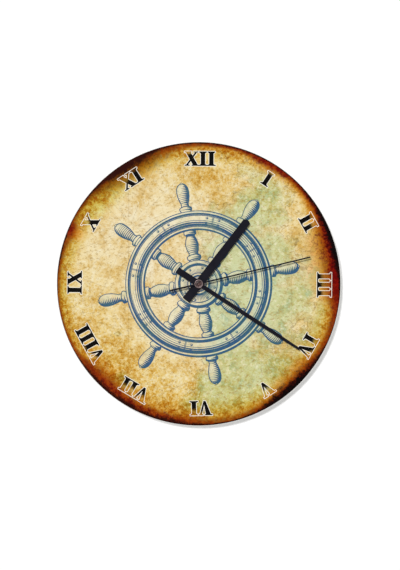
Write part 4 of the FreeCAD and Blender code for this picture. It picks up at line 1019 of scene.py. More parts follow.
def turned_mesh(outline: list[Point], segments: int = 96) -> BMesh:
    """Turn a closed outline of radius and depth round the hands' axis.

    Args:
        outline: Radius and depth of each corner, in millimetres. A radius of zero is on the axis.
        segments: Steps round the axis.

    Returns:
        A closed mesh in place.
    """
    bm = bmesh.new()
    rings = []
    angles = [2 * math.pi * index / segments for index in range(segments)]
    for radius, depth in outline:
        if radius < TINY:
            rings.append([bm.verts.new((0.0, -depth * MM, 0.0))] * segments)
            continue
        reach = radius * MM
        rings.append([bm.verts.new((reach * math.sin(a), -depth * MM, reach * math.cos(a)))
                      for a in angles])
    close_rings(bm, rings)
    return bm


def softened(outline: list[Point], radius: float, steps: int = 4) -> list[Point]:
    """Round the corners of a closed outline.

    Args:
        outline: Corners in order.
        radius: How far back from each corner the rounding starts.
        steps: Points on each rounding.

    Returns:
        The rounded outline.
    """
    soft = []
    for index, corner in enumerate(outline):
        here = np.array(corner)
        before = np.array(outline[index - 1]) - here
        after = np.array(outline[(index + 1) % len(outline)]) - here
        if here[0] < TINY:
            soft.append(corner)
            continue
        back = min(radius, np.linalg.norm(before) * 0.45, np.linalg.norm(after) * 0.45)
        start = here + before / np.linalg.norm(before) * back
        end = here + after / np.linalg.norm(after) * back
        for step in range(steps + 1):
            t = step / steps
            soft.append(tuple((1 - t) ** 2 * start + 2 * t * (1 - t) * here + t ** 2 * end))
    return soft


def inset(loop: Array, distance: float) -> Array:
    """Move the sides of a closed loop to its left by a distance, with mitred corners.

    Args:
        loop: Corners in order.
        distance: How far the sides move; into the loop where it runs anticlockwise.

    Returns:
        The moved corners.
    """
    sides = loop - np.roll(loop, 1, axis=0)
    sides /= np.linalg.norm(sides, axis=1)[:, None]
    before = np.stack([-sides[:, 1], sides[:, 0]], axis=1)
    after = np.roll(before, -1, axis=0)
    way = before + after
    share = np.maximum(1 + (before * after).sum(axis=1), 0.3)
    return loop + way / share[:, None] * distance


def inside(point: Point, loop: Array) -> bool:
    """Whether a point lies in a closed loop.

    Args:
        point: The point.
        loop: The loop's corners in order.

    Returns:
        True where it does.
    """
    x, y = point
    crossings = False
    for (x1, y1), (x2, y2) in zip(loop, np.roll(loop, -1, axis=0)):
        if (y1 > y) != (y2 > y) and x < (x2 - x1) * (y - y1) / (y2 - y1) + x1:
            crossings = not crossings
    return crossings


def plate_mesh(outline: Array, holes: list[Array], near: float, far: float, edge: float) -> BMesh:
    """A flat plate with holes, whose edges are all slightly bevelled.

    Args:
        outline: Outer corners, anticlockwise.
        holes: Corners of each hole, anticlockwise.
        near: Depth of the rear face in millimetres.
        far: Depth of the front face.
        edge: Size of the bevel.

    Returns:
        A closed mesh in place.
    """
    bm = bmesh.new()
    loops = [(outline, edge)] + [(hole, -edge) for hole in holes]
    levels = ((near, 1.0), (near + edge, 0.0), (far - edge, 0.0), (far, 1.0))
    caps: dict[float, list[BMVert]] = {near: [], far: []}
    flat: list[Vector] = []
    edges: list[tuple[int, int]] = []
    for loop, shift in loops:
        rows = []
        for depth, share in levels:
            moved = inset(loop, shift * share) if share else loop
            rows.append([bm.verts.new(p) for p in in_plan(moved, depth)])
        for row, following in zip(rows, rows[1:]):
            for index in range(len(row)):
                after = (index + 1) % len(row)
                bm.faces.new((row[index], row[after], following[after], following[index]))
        start = len(flat)
        flat += [Vector(p) for p in inset(loop, shift)]
        edges += [(start + index, start + (index + 1) % len(loop)) for index in range(len(loop))]
        caps[near] += rows[0]
        caps[far] += rows[-1]
    triangles = delaunay_2d_cdt(flat, edges, [], 1, 1e-7)
    openings = [inset(hole, -edge) for hole in holes]
    for face in triangles[2]:
        middle = sum((triangles[0][index] for index in face), Vector((0.0, 0.0))) / 3
        if any(inside(middle, opening) for opening in openings):
            continue
        corners = [triangles[3][index][0] for index in face]
        for verts in caps.values():
            bm.faces.new([verts[index] for index in corners])
    bmesh.ops.recalc_face_normals(bm, faces=bm.faces)
    return bm


def polar(reach: Array | float, angles: Array) -> Array:
    """Places in plan at distances from the centre and angles anticlockwise from the right."""
    return np.stack([reach * np.cos(angles), reach * np.sin(angles)], axis=1)


def circle(middle: Point, radius: float, steps: int, start: float = 0.0) -> Array:
    """Corners on a circle, anticlockwise."""
    angles = start + np.arange(steps) * 2 * math.pi / steps
    return np.array(middle) + polar(radius, angles)


def heading(angle: float) -> tuple[Array, Array]:
    """The direction at an angle, anticlockwise from the right, and the one to its left."""
    way = np.array([math.cos(angle), math.sin(angle)])
    return way, np.array([-way[1], way[0]])


def turned_to(points: Array, hour_angle: float) -> Array:
    """Turn points clockwise round the dial's centre.

    Args:
        points: The points in plan.
        hour_angle: How far, in degrees.

    Returns:
        The turned points.
    """
    angle = math.radians(hour_angle)
    cosine, sine = math.cos(angle), math.sin(angle)
    return np.stack([points[:, 0] * cosine + points[:, 1] * sine,
                     points[:, 1] * cosine - points[:, 0] * sine], axis=1)


def grown_round(shape: Array, width: float, steps: int = 12) -> Array:
    """Widen a convex shape on all sides, as the hull of circles on its corners.

    Args:
        shape: Corners of the shape.
        width: How far it grows.
        steps: Corners of each circle.

    Returns:
        Corners of the widened shape, anticlockwise.
    """
    cloud = np.concatenate([circle(tuple(corner), width, steps) for corner in shape])
    cloud = cloud[np.lexsort((cloud[:, 1], cloud[:, 0]))]

    def half(points: Array) -> list[Array]:
        """One side of the hull.

        Args:
            points: All points, in order from one end to the other.

        Returns:
            The points on that side, without the last.
        """
        chain: list[Array] = []
        for point in points:
            while len(chain) > 1:
                one, two = chain[-1] - chain[-2], point - chain[-1]
                if one[0] * two[1] - one[1] * two[0] > TINY:
                    break
                chain.pop()
            chain.append(point)
        return chain[:-1]

    return np.array(half(cloud) + half(cloud[::-1]))


# Geometry Nodes trees

GEOMETRY = "NodeSocketGeometry"


class Growth:
    """Geometry Nodes trees of what repeats or follows a path, each built when first asked for."""

    def started(self, name: str, inputs: dict[str, tuple[str, Setting]]) -> Group:
        """Start a group from geometry to geometry that also takes the material of its ink."""
        return Group.new(name, "GeometryNodeTree", {
            "Geometry": (GEOMETRY, None), **inputs, "Ink": ("NodeSocketMaterial", None)},
            {"Geometry": GEOMETRY})

    @cached_property
    def strokes(self) -> Tree:
        """Sweep a flat band of ink along each line; its half width is the line's attribute.

        Returns:
            The tree.
        """
        group = self.started("pen_strokes", {"Thickness": (FLOAT, 0.06)})
        w = group.wiring
        path = w.add("GeometryNodeMeshToCurve", {"Mesh": group["Geometry"]})
        width = w.add("GeometryNodeInputNamedAttribute", {"Name": "half_width"})
        section = w.add("GeometryNodeCurvePrimitiveQuadrilateral", {
            "Width": group["Thickness"], "Height": 2.0})
        level = w.add("GeometryNodeSetCurveNormal", {
            "Curve": path.outputs[0], "Normal": (0.0, 1.0, 0.0)}, mode="FREE")
        swept = w.add("GeometryNodeCurveToMesh", {
            "Curve": level.outputs[0], "Profile Curve": section.outputs[0],
            "Scale": width.outputs[0], "Fill Caps": True})
        return self.inked(group, swept.outputs[0])

    @cached_property
    def helix(self) -> Tree:
        """Wind a round wire, or the ridge of a thread, about the local upright.

        Returns:
            The tree.
        """
        group = self.started("wound_wire", {
            "Turns": (FLOAT, 10.0), "Radius": (FLOAT, 0.003), "Length": (FLOAT, 0.01),
            "Wire": (FLOAT, 0.0001), "Sides": ("NodeSocketInt", 6)})
        w = group.wiring
        spiral = w.add("GeometryNodeCurveSpiral", {
            "Resolution": 24, "Rotations": group["Turns"],
            "Start Radius": group["Radius"], "End Radius": group["Radius"],
            "Height": group["Length"]})
        section = w.add("GeometryNodeCurvePrimitiveCircle", {
            "Resolution": group["Sides"], "Radius": group["Wire"]})
        swept = w.add("GeometryNodeCurveToMesh", {
            "Curve": spiral.outputs[0], "Profile Curve": section.outputs[0], "Fill Caps": True})
        return self.inked(group, swept.outputs[0])

    @cached_property
    def scatter(self) -> Tree:
        """Scatter small drawn hills over a disc.

        Returns:
            The tree.
        """
        group = self.started("scattered_marks", {
            "Spacing": (FLOAT, 0.01), "Density": (FLOAT, 4000.0), "Size": (FLOAT, 0.002),
            "Pen": (FLOAT, 0.00015), "Thickness": (FLOAT, 0.00003), "Seed": ("NodeSocketInt", 4)})
        w = group.wiring
        spots = w.add("GeometryNodeDistributePointsOnFaces", {
            "Mesh": group["Geometry"], "Distance Min": group["Spacing"],
            "Density Max": group["Density"], "Seed": group["Seed"]},
            distribute_method="POISSON")
        hump = w.add("GeometryNodeCurveArc", {
            "Resolution": 9, "Radius": group["Size"], "Start Angle": 0.15,
            "Sweep Angle": 2.5}, mode="RADIUS")
        section = w.add("GeometryNodeCurvePrimitiveQuadrilateral", {
            "Width": group["Pen"], "Height": group["Thickness"]})
        drawn = w.add("GeometryNodeCurveToMesh", {
            "Curve": hump.outputs[0], "Profile Curve": section.outputs[0], "Fill Caps": True})
        stretch = w.add("FunctionNodeRandomValue", {2: 0.5, 3: 1.25, "Seed": 2}, data_type="FLOAT")
        squat = w.add("ShaderNodeCombineXYZ", {0: stretch.outputs[1],
                                               1: w.times(stretch.outputs[1], 0.72), 2: 1.0})
        placed = w.add("GeometryNodeInstanceOnPoints", {
            "Points": spots.outputs["Points"], "Instance": drawn.outputs[0],
            "Scale": squat.outputs[0]})
        return self.inked(group, placed.outputs[0])

    @cached_property
    def ring(self) -> Tree:
        """Copies of the object's own mesh, evenly round its local upright.

        Returns:
            The tree.
        """
        group = self.started("ring_of_copies", {"Count": ("NodeSocketInt", 8)})
        w = group.wiring
        spots = w.add("GeometryNodePoints", {"Count": group["Count"]})
        index = w.add("GeometryNodeInputIndex")
        angle = w.math("DIVIDE", w.times(index.outputs[0], 2 * math.pi), group["Count"])
        spin = w.add("FunctionNodeAxisAngleToRotation", {"Axis": (0.0, 0.0, 1.0), "Angle": angle})
        placed = w.add("GeometryNodeInstanceOnPoints", {
            "Points": spots.outputs[0], "Instance": group["Geometry"],
            "Rotation": spin.outputs[0]})
        return self.inked(group, placed.outputs[0])

    def inked(self, group: Group, geometry: Socket) -> Tree:
        """End a tree with real geometry in its own material.

        Args:
            group: The tree's group, with an input named Ink.
            geometry: What the tree makes.

        Returns:
            The finished tree.
        """
        real = group.wiring.add("GeometryNodeRealizeInstances", {"Geometry": geometry})
        inked = group.wiring.add("GeometryNodeSetMaterial", {
            "Geometry": real.outputs[0], "Material": group["Ink"]})
        return group.give(Geometry=inked.outputs[0])

    def run(self, tree: Tree, mesh: bpy.types.Mesh, values: dict[str, Setting]) -> BMesh:
        """Run a tree on a mesh.

        Args:
            tree: The tree.
            mesh: The mesh that it starts from.
            values: Its inputs by name.

        Returns:
            What it made, as a plain mesh.
        """
        host = placed("growth", mesh)
        modifier = host.modifiers.new("growth", "NODES")
        modifier.node_group = tree
        for item in tree.interface.items_tree:
            if item.in_out == "INPUT" and item.name in values:
                modifier[item.identifier] = values[item.name]
        graph = bpy.context.evaluated_depsgraph_get()
        made = bpy.data.meshes.new_from_object(host.evaluated_get(graph), depsgraph=graph)
        bm = bmesh.new()
        bm.from_mesh(made)
        host.modifiers.remove(modifier)
        bpy.data.objects.remove(host)
        bpy.data.meshes.remove(made)
        face_out(bm)
        return bm


@dataclass
class Pen:
    """Collects drawn lines of the print, in plan, with a half width at each point."""

    lines: list[tuple[Array, Array, bool]] = field(default_factory=list)
    least: float = 0.07

    def draw(self, points: Array, widths: Array, closed: bool = False) -> None:
        """Keep a line, broken wherever it gets thinner than the pen's least.

        Args:
            points: Right and up of each point in millimetres.
            widths: Half width at each point.
            closed: Whether the line ends where it starts.
        """
        thick = widths > self.least
        if closed and thick.all():
            self.lines.append((points, widths, True))
            return
        start = None
        for index in range(len(points) + 1):
            solid = index < len(points) and thick[index]
            if solid and start is None:
                start = index
            elif not solid and start is not None:
                if index - start > 1:
                    self.lines.append((points[start:index], widths[start:index], False))
                start = None

    def mesh(self, name: str, depth: float) -> bpy.types.Mesh:
        """All lines as edges, with their half widths in metres as an attribute.

        Args:
            name: Name of the mesh.
            depth: Distance of the lines from the wall.

        Returns:
            The mesh.
        """
        places, widths, edges = [], [], []
        for points, half, closed in self.lines:
            start = sum(len(p) for p in places)
            places.append(points)
            widths.append(half)
            edges += [(start + i, start + i + 1) for i in range(len(points) - 1)]
            if closed:
                edges.append((start + len(points) - 1, start))
        made = bpy.data.meshes.new(name)
        made.from_pydata(in_plan(np.concatenate(places), depth).tolist(), edges, [])
        attribute = made.attributes.new("half_width", "FLOAT", "POINT")
        attribute.data.foreach_set("value", (np.concatenate(widths) * MM).astype(np.float32))
        return made


# The dial

LIGHT = np.array([-0.56, 0.56, 0.61])


@dataclass
class WheelPicture:
    """A ship's wheel in line engraving that fills the middle of the dial."""

    spokes: int = 8
    tilt: float = 10.0
    hub: float = 25.0
    rim_inner: float = 57.0
    rim_outer: float = 77.0
    tip: float = 107.0
    gap: float = 2.2
    outline: float = 1.35
    seed: int = 11
    # Inner radius, outer radius and roundness of the bands of the rim, and of those of the hub
    rim_bands: tuple[tuple[float, float, float], ...] = (
        (57.0, 60.6, 0.9), (61.6, 72.4, 0.96), (73.4, 77.0, 0.9))
    hub_bands: tuple[tuple[float, float, float], ...] = ((19.5, 25.0, 0.9), (8.0, 11.5, 0.85))
    # Where pegs sit: beside each joint of the rim, its two rows, and the ring of them on the hub
    peg_shift: float = 6.5
    peg_rows: Point = (64.4, 69.6)
    hub_pegs: float = 17.2
    hub_rays: int = 64
    collars: tuple[float, ...] = (31.0, 51.2, 82.4)
    # Half width of a turned spoke at distances from the centre
    turnings: tuple[Point, ...] = (
        (25.0, 5.2), (27.0, 7.0), (29.5, 7.0), (31.0, 4.9), (33.0, 4.5), (36.0, 5.8), (42.0, 6.7),
        (47.0, 5.6), (50.5, 4.1), (52.0, 4.3), (53.0, 6.2), (55.5, 6.2), (57.0, 5.4), (77.0, 5.0),
        (79.0, 6.2), (81.0, 6.2), (82.2, 3.9), (85.0, 3.5), (88.0, 4.6), (93.0, 5.9), (98.0, 6.3),
        (102.0, 5.8), (105.0, 4.2), (107.0, 1.2))

    pen: Pen = field(default_factory=Pen)
    chance: random.Random = field(init=False)

    def __post_init__(self) -> None:
        """Start the slightly unsteady hand."""
        self.chance = random.Random(self.seed)

    def radius_at(self, along: Array | float) -> Array | float:
        """Half width of a spoke at distances from the centre."""
        places, sizes = zip(*self.turnings)
        return np.interp(along, places, sizes)

    def unsteady(self, count: int) -> Array:
        """A smooth factor near one, different for each line.

        Args:
            count: Number of points on the line.

        Returns:
            The factor at each point.
        """
        steps = np.arange(count)
        wave = sum(0.05 * math.cos(self.chance.random() * 6) * np.sin(
            steps * (0.05 + 0.25 * self.chance.random()) + self.chance.random() * 6)
            for _ in range(3))
        return 1.0 + wave

    def tone(self, normal: Array, gap: float, start: float = 0.2, full: float = 0.96) -> Array:
        """Half width of engraved lines that gives a surface its shade.

        Args:
            normal: Direction that the surface faces at each point.
            gap: Distance between lines.
            start: Darkness at which the lines begin.
            full: Share of the gap that the darkest line fills.

        Returns:
            The half width at each point.
        """
        dark = 1.0 - np.clip(normal @ LIGHT, 0.0, 1.0)
        share = np.clip((dark - start) / (0.86 - start), 0.0, 1.0)
        return share * gap / 2 * full

    def draw(self) -> None:
        """Draw the whole wheel."""
        for band in self.rim_bands:
            self.draw_band(*band)
        self.draw_joints()
        for index in range(self.spokes):
            self.draw_spoke(index)
        self.draw_hub()

    def toward(self, index: float) -> tuple[Array, Array]:
        """The direction of a spoke, or halfway between two, and the one to its left."""
        return heading(math.radians(self.tilt) + 2 * math.pi * index / self.spokes)

    def ring(self, radius: float, width: float, shade: float = 0.35) -> None:
        """An outline circle, heavier on the side away from the light.

        Args:
            radius: Its radius.
            width: Its half width, as a share of the outlines' own.
            shade: How much heavier it gets.
        """
        points = circle((0.0, 0.0), radius, 220)
        away = -(points / radius) @ LIGHT[:2]
        half = width * self.outline * (1 + shade * away)
        self.pen.draw(points, half * self.unsteady(220), True)

    def draw_band(self, low: float, high: float, swell: float) -> None:
        """Shade one rounded band with rings of swelling lines.

        Args:
            low: Inner radius of the band.
            high: Its outer radius.
            swell: How round it is.
        """
        middle, half = (low + high) / 2, (high - low) / 2
        count = max(2, round((high - low) / self.gap))
        angles = np.arange(361) * 2 * math.pi / 360
        ways = polar(1.0, angles)
        for index in range(count):
            radius = low + (index + 0.5) * (high - low) / count
            lean = (radius - middle) / half * swell
            lift = math.sqrt(1 - lean * lean)
            normal = np.column_stack([ways * lean, np.full(361, lift)])
            widths = self.tone(normal, (high - low) / count) * self.unsteady(361)
            self.pen.draw(ways * radius, widths)
        self.ring(low, 0.34)
        self.ring(high, 0.42)

    def draw_joints(self) -> None:
        """The joints and pegs of the rim, halfway between the spokes."""
        low, high, _ = self.rim_bands[1]
        for index in range(self.spokes):
            way, side = self.toward(index + 0.5)
            for shift in (-0.5, 0.5):
                line = np.linspace(way * low + side * shift, way * high + side * shift, 6)
                self.pen.draw(line, np.full(6, 0.28))
            for shift in (-self.peg_shift, self.peg_shift):
                for reach in self.peg_rows:
                    self.peg(way * reach + side * shift)

    def peg(self, middle: Array) -> None:
        """A round peg head with its shaded side.

        Args:
            middle: Its place in plan.
        """
        self.pen.draw(circle(tuple(middle), 1.15, 14), np.full(14, 0.24), True)
        shade = middle + np.array([0.3, -0.3]) + circle((0.0, 0.0), 0.45, 10)
        self.pen.draw(shade, np.full(10, 0.3), True)

    def draw_spoke(self, index: int) -> None:
        """One turned spoke with its handle: cross lines, outlines and the collars between.

        Args:
            index: Which spoke, anticlockwise from the right.
        """
        way, side = self.toward(index)
        across = np.linspace(-1.0, 1.0, 15)
        round_up = np.sqrt(1 - (across * 0.97) ** 2)

        def bowed(middle: float, radius: float) -> Array:
            """Points of a line across the spoke, bowed as on a round bar."""
            reach = middle + (round_up - 0.6) * radius * 0.3
            return reach[:, None] * way + across[:, None] * radius * side

        along = self.hub + 0.9
        while along < self.tip - 0.8:
            if not self.rim_inner - 0.5 < along < self.rim_outer + 0.5:
                radius = self.radius_at(along)
                slope = (self.radius_at(along + 0.5) - radius) / 0.5
                normal = (across[:, None] * 0.97 * np.append(side, 0.0)
                          + round_up[:, None] * np.array([0.0, 0.0, 1.0])
                          - slope * 0.55 * np.append(way, 0.0))
                normal /= np.linalg.norm(normal, axis=1)[:, None]
                self.pen.draw(bowed(along, radius),
                              self.tone(normal, self.gap * 0.86) * self.unsteady(15))
            along += self.gap * 0.86
        for start, end in ((self.hub, self.rim_inner), (self.rim_outer, self.tip)):
            reaches = np.arange(start, end + 0.01, 0.5)
            radii = self.radius_at(reaches)
            for hand in (-1.0, 1.0):
                points = reaches[:, None] * way + radii[:, None] * side * hand
                heavy = self.outline * (0.4 - 0.17 * float((side * hand) @ LIGHT[:2]))
                self.pen.draw(points, np.full(len(points), heavy) * self.unsteady(len(points)))
        for reach in self.collars:
            self.pen.draw(bowed(reach, self.radius_at(reach)), np.full(15, 0.34 * self.outline))
        end = self.tip * way + circle((0.0, 0.0), 1.0, 12)
        self.pen.draw(end, np.full(12, 0.3), True)

    def draw_hub(self) -> None:
        """The hub: two raised rings, a ring of bolts and radial shading between."""
        for band in self.hub_bands:
            self.draw_band(*band)
        for index in range(self.hub_rays):
            way, _ = heading(2 * math.pi * index / self.hub_rays)
            dark = 0.5 - 0.42 * float(way @ LIGHT[:2])
            line = np.linspace(way * 11.9, way * (15.5 + 3.2 * dark), 6)
            self.pen.draw(line, np.linspace(0.34, 0.12, 6) * (0.55 + dark))
        for index in range(self.spokes):
            self.peg(self.hub_pegs * self.toward(index + 0.5)[0])

    def silhouette(self) -> list[Array]:
        """The wheel's outline, for the pale wash under its lines.

        Returns:
            Convex shapes that cover it together.
        """
        shapes = [circle((0.0, 0.0), self.hub, 48)]
        steps = 96
        for index in range(steps):
            start, end = (heading(2 * math.pi * (index + shift) / steps)[0]
                          for shift in (-0.02, 1.02))
            shapes.append(np.array([start * self.rim_inner, start * self.rim_outer,
                                    end * self.rim_outer, end * self.rim_inner]))
        for index in range(self.spokes):
            way, side = self.toward(index)
            for (near, one), (far, two) in zip(self.turnings, self.turnings[1:]):
                if near >= self.rim_inner and far <= self.rim_outer:
                    continue
                shapes.append(np.array([way * near - side * one, way * (far + 0.02) - side * two,
                                        way * (far + 0.02) + side * two, way * near + side * one]))
        return shapes


@dataclass
class Numerals:
    """Twelve Roman numerals with serifs, their feet towards the centre."""

    foot: float = 123.9
    height: float = 15.3
    stem: float = 4.7
    bar: float = 1.25
    edge: float = 0.6
    # The ring of numerals lies this far off the dial's centre, in this direction
    off_centre: float = 0.9
    off_turn: float = 55.0
    # Each numeral's angle, and the share of a letter's height where its ink ends, left and right
    texts: tuple[tuple[str, float, tuple[tuple[float, float], ...]], ...] = (
        ("XII", 0.5, ((0.7, 1.1), (1.4, 1.4), (1.4, 1.4))), ("I", 33.2, ((0.86, 0.86),)),
        ("II", 60.7, ((0.86, 0.8), (0.64, 0.54))),
        ("III", 90.4, ((0.34, 0.34), (0.32, 0.32), (0.37, 0.37))),
        ("IV", 119.7, ((0.72, 0.72), (1.25, 0.4))), ("V", 147.1, ((0.52, 0.42),)),
        ("VI", 178.8, ((1.6, 0.5), (0.6, 0.6))),
        ("VII", 210.95, ((0.4, 0.84), (0.44, 0.44), (0.52, 0.52))),
        ("VIII", 240.9, ((0.42, 0.86), (0.96, 0.96), (1.4, 1.4), (1.4, 1.4))),
        ("IX", 270.65, ((1.5, 1.5), (1.5, 1.5))), ("X", 299.6, ((0.26, 0.96),)),
        ("XI", 327.0, ((0.28, 0.76), (0.84, 0.84))))

    def letter(self, sign: str) -> tuple[list[Array], float, float]:
        """One letter as convex shapes.

        Args:
            sign: I, V or X.

        Returns:
            The shapes, the letter's width, and the step to the next letter.
        """
        top, low = self.height - self.bar, self.bar
        if sign == "I":
            wide, left = 8.2, (8.2 - self.stem) / 2
            right = left + self.stem
            return [box(left, 0.2, right, self.height - 0.2), box(-0.3, 0.0, wide + 0.5, low),
                    box(0.0, top, wide, self.height),
                    np.array([(left - 1.0, low), (right + 1.0, low), (right, low + 1.0),
                              (left, low + 1.0)]),
                    np.array([(left, top - 1.0), (right, top - 1.0), (right + 1.0, top),
                              (left - 1.0, top)])], wide, 8.85
        if sign == "V":
            return [np.array([(7.4, 0.0), (9.6, 0.0), (7.3, top + 0.2), (1.9, top + 0.2)]),
                    np.array([(7.9, 0.0), (9.6, 0.0), (13.7, top + 0.2), (11.3, top + 0.2)]),
                    box(0.2, top, 8.3, self.height), box(9.9, top, 15.0, self.height)], 15.2, 15.6
        return [np.array([(8.9, low - 0.2), (14.1, low - 0.2), (6.6, top + 0.2), (1.4, top + 0.2)]),
                np.array([(1.6, low - 0.2), (3.9, low - 0.2), (13.3, top + 0.2),
                          (11.0, top + 0.2)]),
                box(0.0, top, 7.4, self.height), box(9.3, top, 14.7, self.height),
                box(0.2, 0.0, 5.6, low), box(7.6, 0.0, 15.4, low)], 15.1, 15.45

    def foot_at(self, angle: float) -> float:
        """Distance of a numeral's foot from the dial's centre."""
        return self.foot + self.off_centre * math.cos(math.radians(angle - self.off_turn))

    def letters(self, text: str, angle: float) -> list[list[Array]]:
        """The letters of a numeral, in its place on the dial.

        Args:
            text: The numeral.
            angle: Its angle clockwise from XII, in degrees.

        Returns:
            The convex shapes of each letter.
        """
        letters: list[list[Array]] = []
        start = 0.0
        foot = self.foot_at(angle)
        for index, sign in enumerate(text):
            shapes, wide, advance = self.letter(sign)
            letters.append([shape + np.array([start, foot]) for shape in shapes])
            start += wide if index == len(text) - 1 else advance
        middle = np.array([start / 2, 0.0])
        return [[turned_to(shape - middle, angle) for shape in shapes] for shapes in letters]


def box(left: float, low: float, right: float, high: float) -> Array:
    """The corners of a rectangle, anticlockwise."""
    return np.array([(left, low), (right, low), (right, high), (left, high)])


def inked_area(shapes: list[Array], holes: list[Array], near: float, thickness: float) -> BMesh:
    """The union of convex shapes, less the union of others, as a thin closed layer.

    Args:
        shapes: What is covered.
        holes: What is left out of it.
        near: Depth of the layer's rear.
        thickness: How far it stands out from there.

    Returns:
        The layer, in place.
    """
    flat: list[Vector] = []
    faces: list[list[int]] = []
    for shape in shapes + holes:
        faces.append(list(range(len(flat), len(flat) + len(shape))))
        flat += [Vector(corner) for corner in shape]
    cut = delaunay_2d_cdt(flat, [], faces, 1, 1e-5)
    covered = [face for face, origins in zip(cut[2], cut[5])
               if origins and all(index < len(shapes) for index in origins)]
    used = sorted({index for face in covered for index in face})
    corners = np.array([tuple(cut[0][index]) for index in used])
    bm = bmesh.new()
    front, rear = (dict(zip(used, [bm.verts.new(place) for place in in_plan(corners, depth)]))
                   for depth in (near + thickness, near))
    sides = dict.fromkeys((a, b) for face in covered for a, b in zip(face, face[1:] + face[:1]))
    for layer in (front, rear):
        for face in covered:
            bm.faces.new([layer[index] for index in face])
    for a, b in sides:
        if (b, a) not in sides:
            bm.faces.new((front[a], front[b], rear[b], rear[a]))
    bmesh.ops.recalc_face_normals(bm, faces=bm.faces)
    return bm


@dataclass
class Dial:
    """The board, its printed film, and the print's layers on it."""

    palette: Palette
    growth: Growth
    radius: float = 150.0
    hole: float = 4.2
    board_near: float = 17.0
    board_far: float = 20.0
    film_far: float = 20.2
    edge: float = 0.28
    # Radii within which hills are drawn, within which none are, and where the wash starts
    chart_radius: float = 118.0
    chart_hole: float = 22.0
    wash_hole: float = 7.6
    # Thickness of the hills, the wash, the wheel's lines and the numerals' fill and edge
    hill_ink: float = 0.02
    wash_ink: float = 0.03
    line_ink: float = 0.09
    fill_ink: float = 0.07
    edge_ink: float = 0.06

    def build(self) -> None:
        """Make every piece of the dial."""
        self.build_board()
        self.build_chart_marks()
        self.build_wheel()
        self.build_numerals()

    def build_board(self) -> None:
        """The board with softly broken edges, smooth all round."""
        outline = softened([(self.hole, self.board_near), (self.radius, self.board_near),
                            (self.radius, self.board_far), (self.hole, self.board_far)], self.edge)
        board = piece("board_disc", turned_mesh(outline, 360), self.palette, "case", "white_board")
        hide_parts("dial_board")

    def build_chart_marks(self) -> None:
        """Small drawn hills scattered over the chart."""
        disc = bmesh.new()
        bmesh.ops.create_circle(disc, cap_ends=True, segments=96, radius=self.chart_radius * MM)
        marks = self.growth.run(self.growth.scatter, mesh_of("chart_area", disc), {
            "Spacing": 0.0085, "Density": 9000.0, "Size": 0.0013, "Pen": 0.00026,
            "Thickness": self.hill_ink * MM, "Seed": 7, "Ink": self.palette.prints["chart_line"]})
        stand_out(marks, self.film_far + self.hill_ink * 0.6)
        clear = {v for v in marks.verts if v.co.length < self.chart_hole * MM + abs(v.co.y)}
        edge = clear
        while edge:
            edge = {e.other_vert(v) for v in edge for e in v.link_edges} - clear
            clear |= edge
        bmesh.ops.delete(marks, geom=[v for v in marks.verts if v in clear], context="VERTS")
        piece("chart_hills", marks, self.palette, "case", "printed_film", "chart_line", None)

    def build_wheel(self) -> None:
        """The engraved wheel: a pale wash and the lines over it."""
        picture = WheelPicture()
        picture.draw()
        centre = [circle((0.0, 0.0), self.wash_hole, 32)]
        wash = inked_area(picture.silhouette(), centre, self.film_far, self.wash_ink)
        piece("wheel_wash", wash, self.palette, "case", "printed_film", "wheel_wash", None)
        path = picture.pen.mesh("wheel_paths", self.film_far + self.line_ink / 2)
        lines = self.growth.run(self.growth.strokes, path, {
            "Thickness": self.line_ink, "Ink": self.palette.prints["wheel_line"]})
        piece("wheel_lines", lines, self.palette, "case", "printed_film", "wheel_line", None)

    def build_numerals(self) -> None:
        """The numerals' fill and the pale edge round each."""
        numerals = Numerals()
        fills, edges = bmesh.new(), bmesh.new()
        ends: list[float] = []
        for text, angle, worn in numerals.texts:
            done: list[Array] = []
            layers = []
            right = Vector((math.cos(math.radians(angle)), 0.0, -math.sin(math.radians(angle))))
            for shapes, shares in zip(numerals.letters(text, angle), worn):
                fill = inked_area(shapes, done, self.film_far, self.fill_ink)
                sides = np.array([vert.co.dot(right) for vert in fill.verts])
                worn_at = np.interp(sides, (sides.min(), sides.max()), shares)
                ends += list(numerals.foot_at(angle) + worn_at * numerals.height)
                layers.append((fill, fills))
                done += shapes
            wide = [grown_round(shape, numerals.edge) for shape in done]
            layers.append((inked_area(wide, done, self.film_far, self.edge_ink), edges))
            for source, target in layers:
                mesh = mesh_of("numeral", source)
                target.from_mesh(mesh)
                bpy.data.meshes.remove(mesh)
        made = piece("numeral_fills", fills, self.palette, "case", "printed_film", "numeral_fill",
                     None)
        attribute = made.data.attributes.new("ink_end", "FLOAT", "POINT")
        attribute.data.foreach_set("value", np.array(ends, np.float32))
        piece("numeral_edges", edges, self.palette, "case", "printed_film", "numeral_edge", None)


# Hands and the stack that clamps the dial

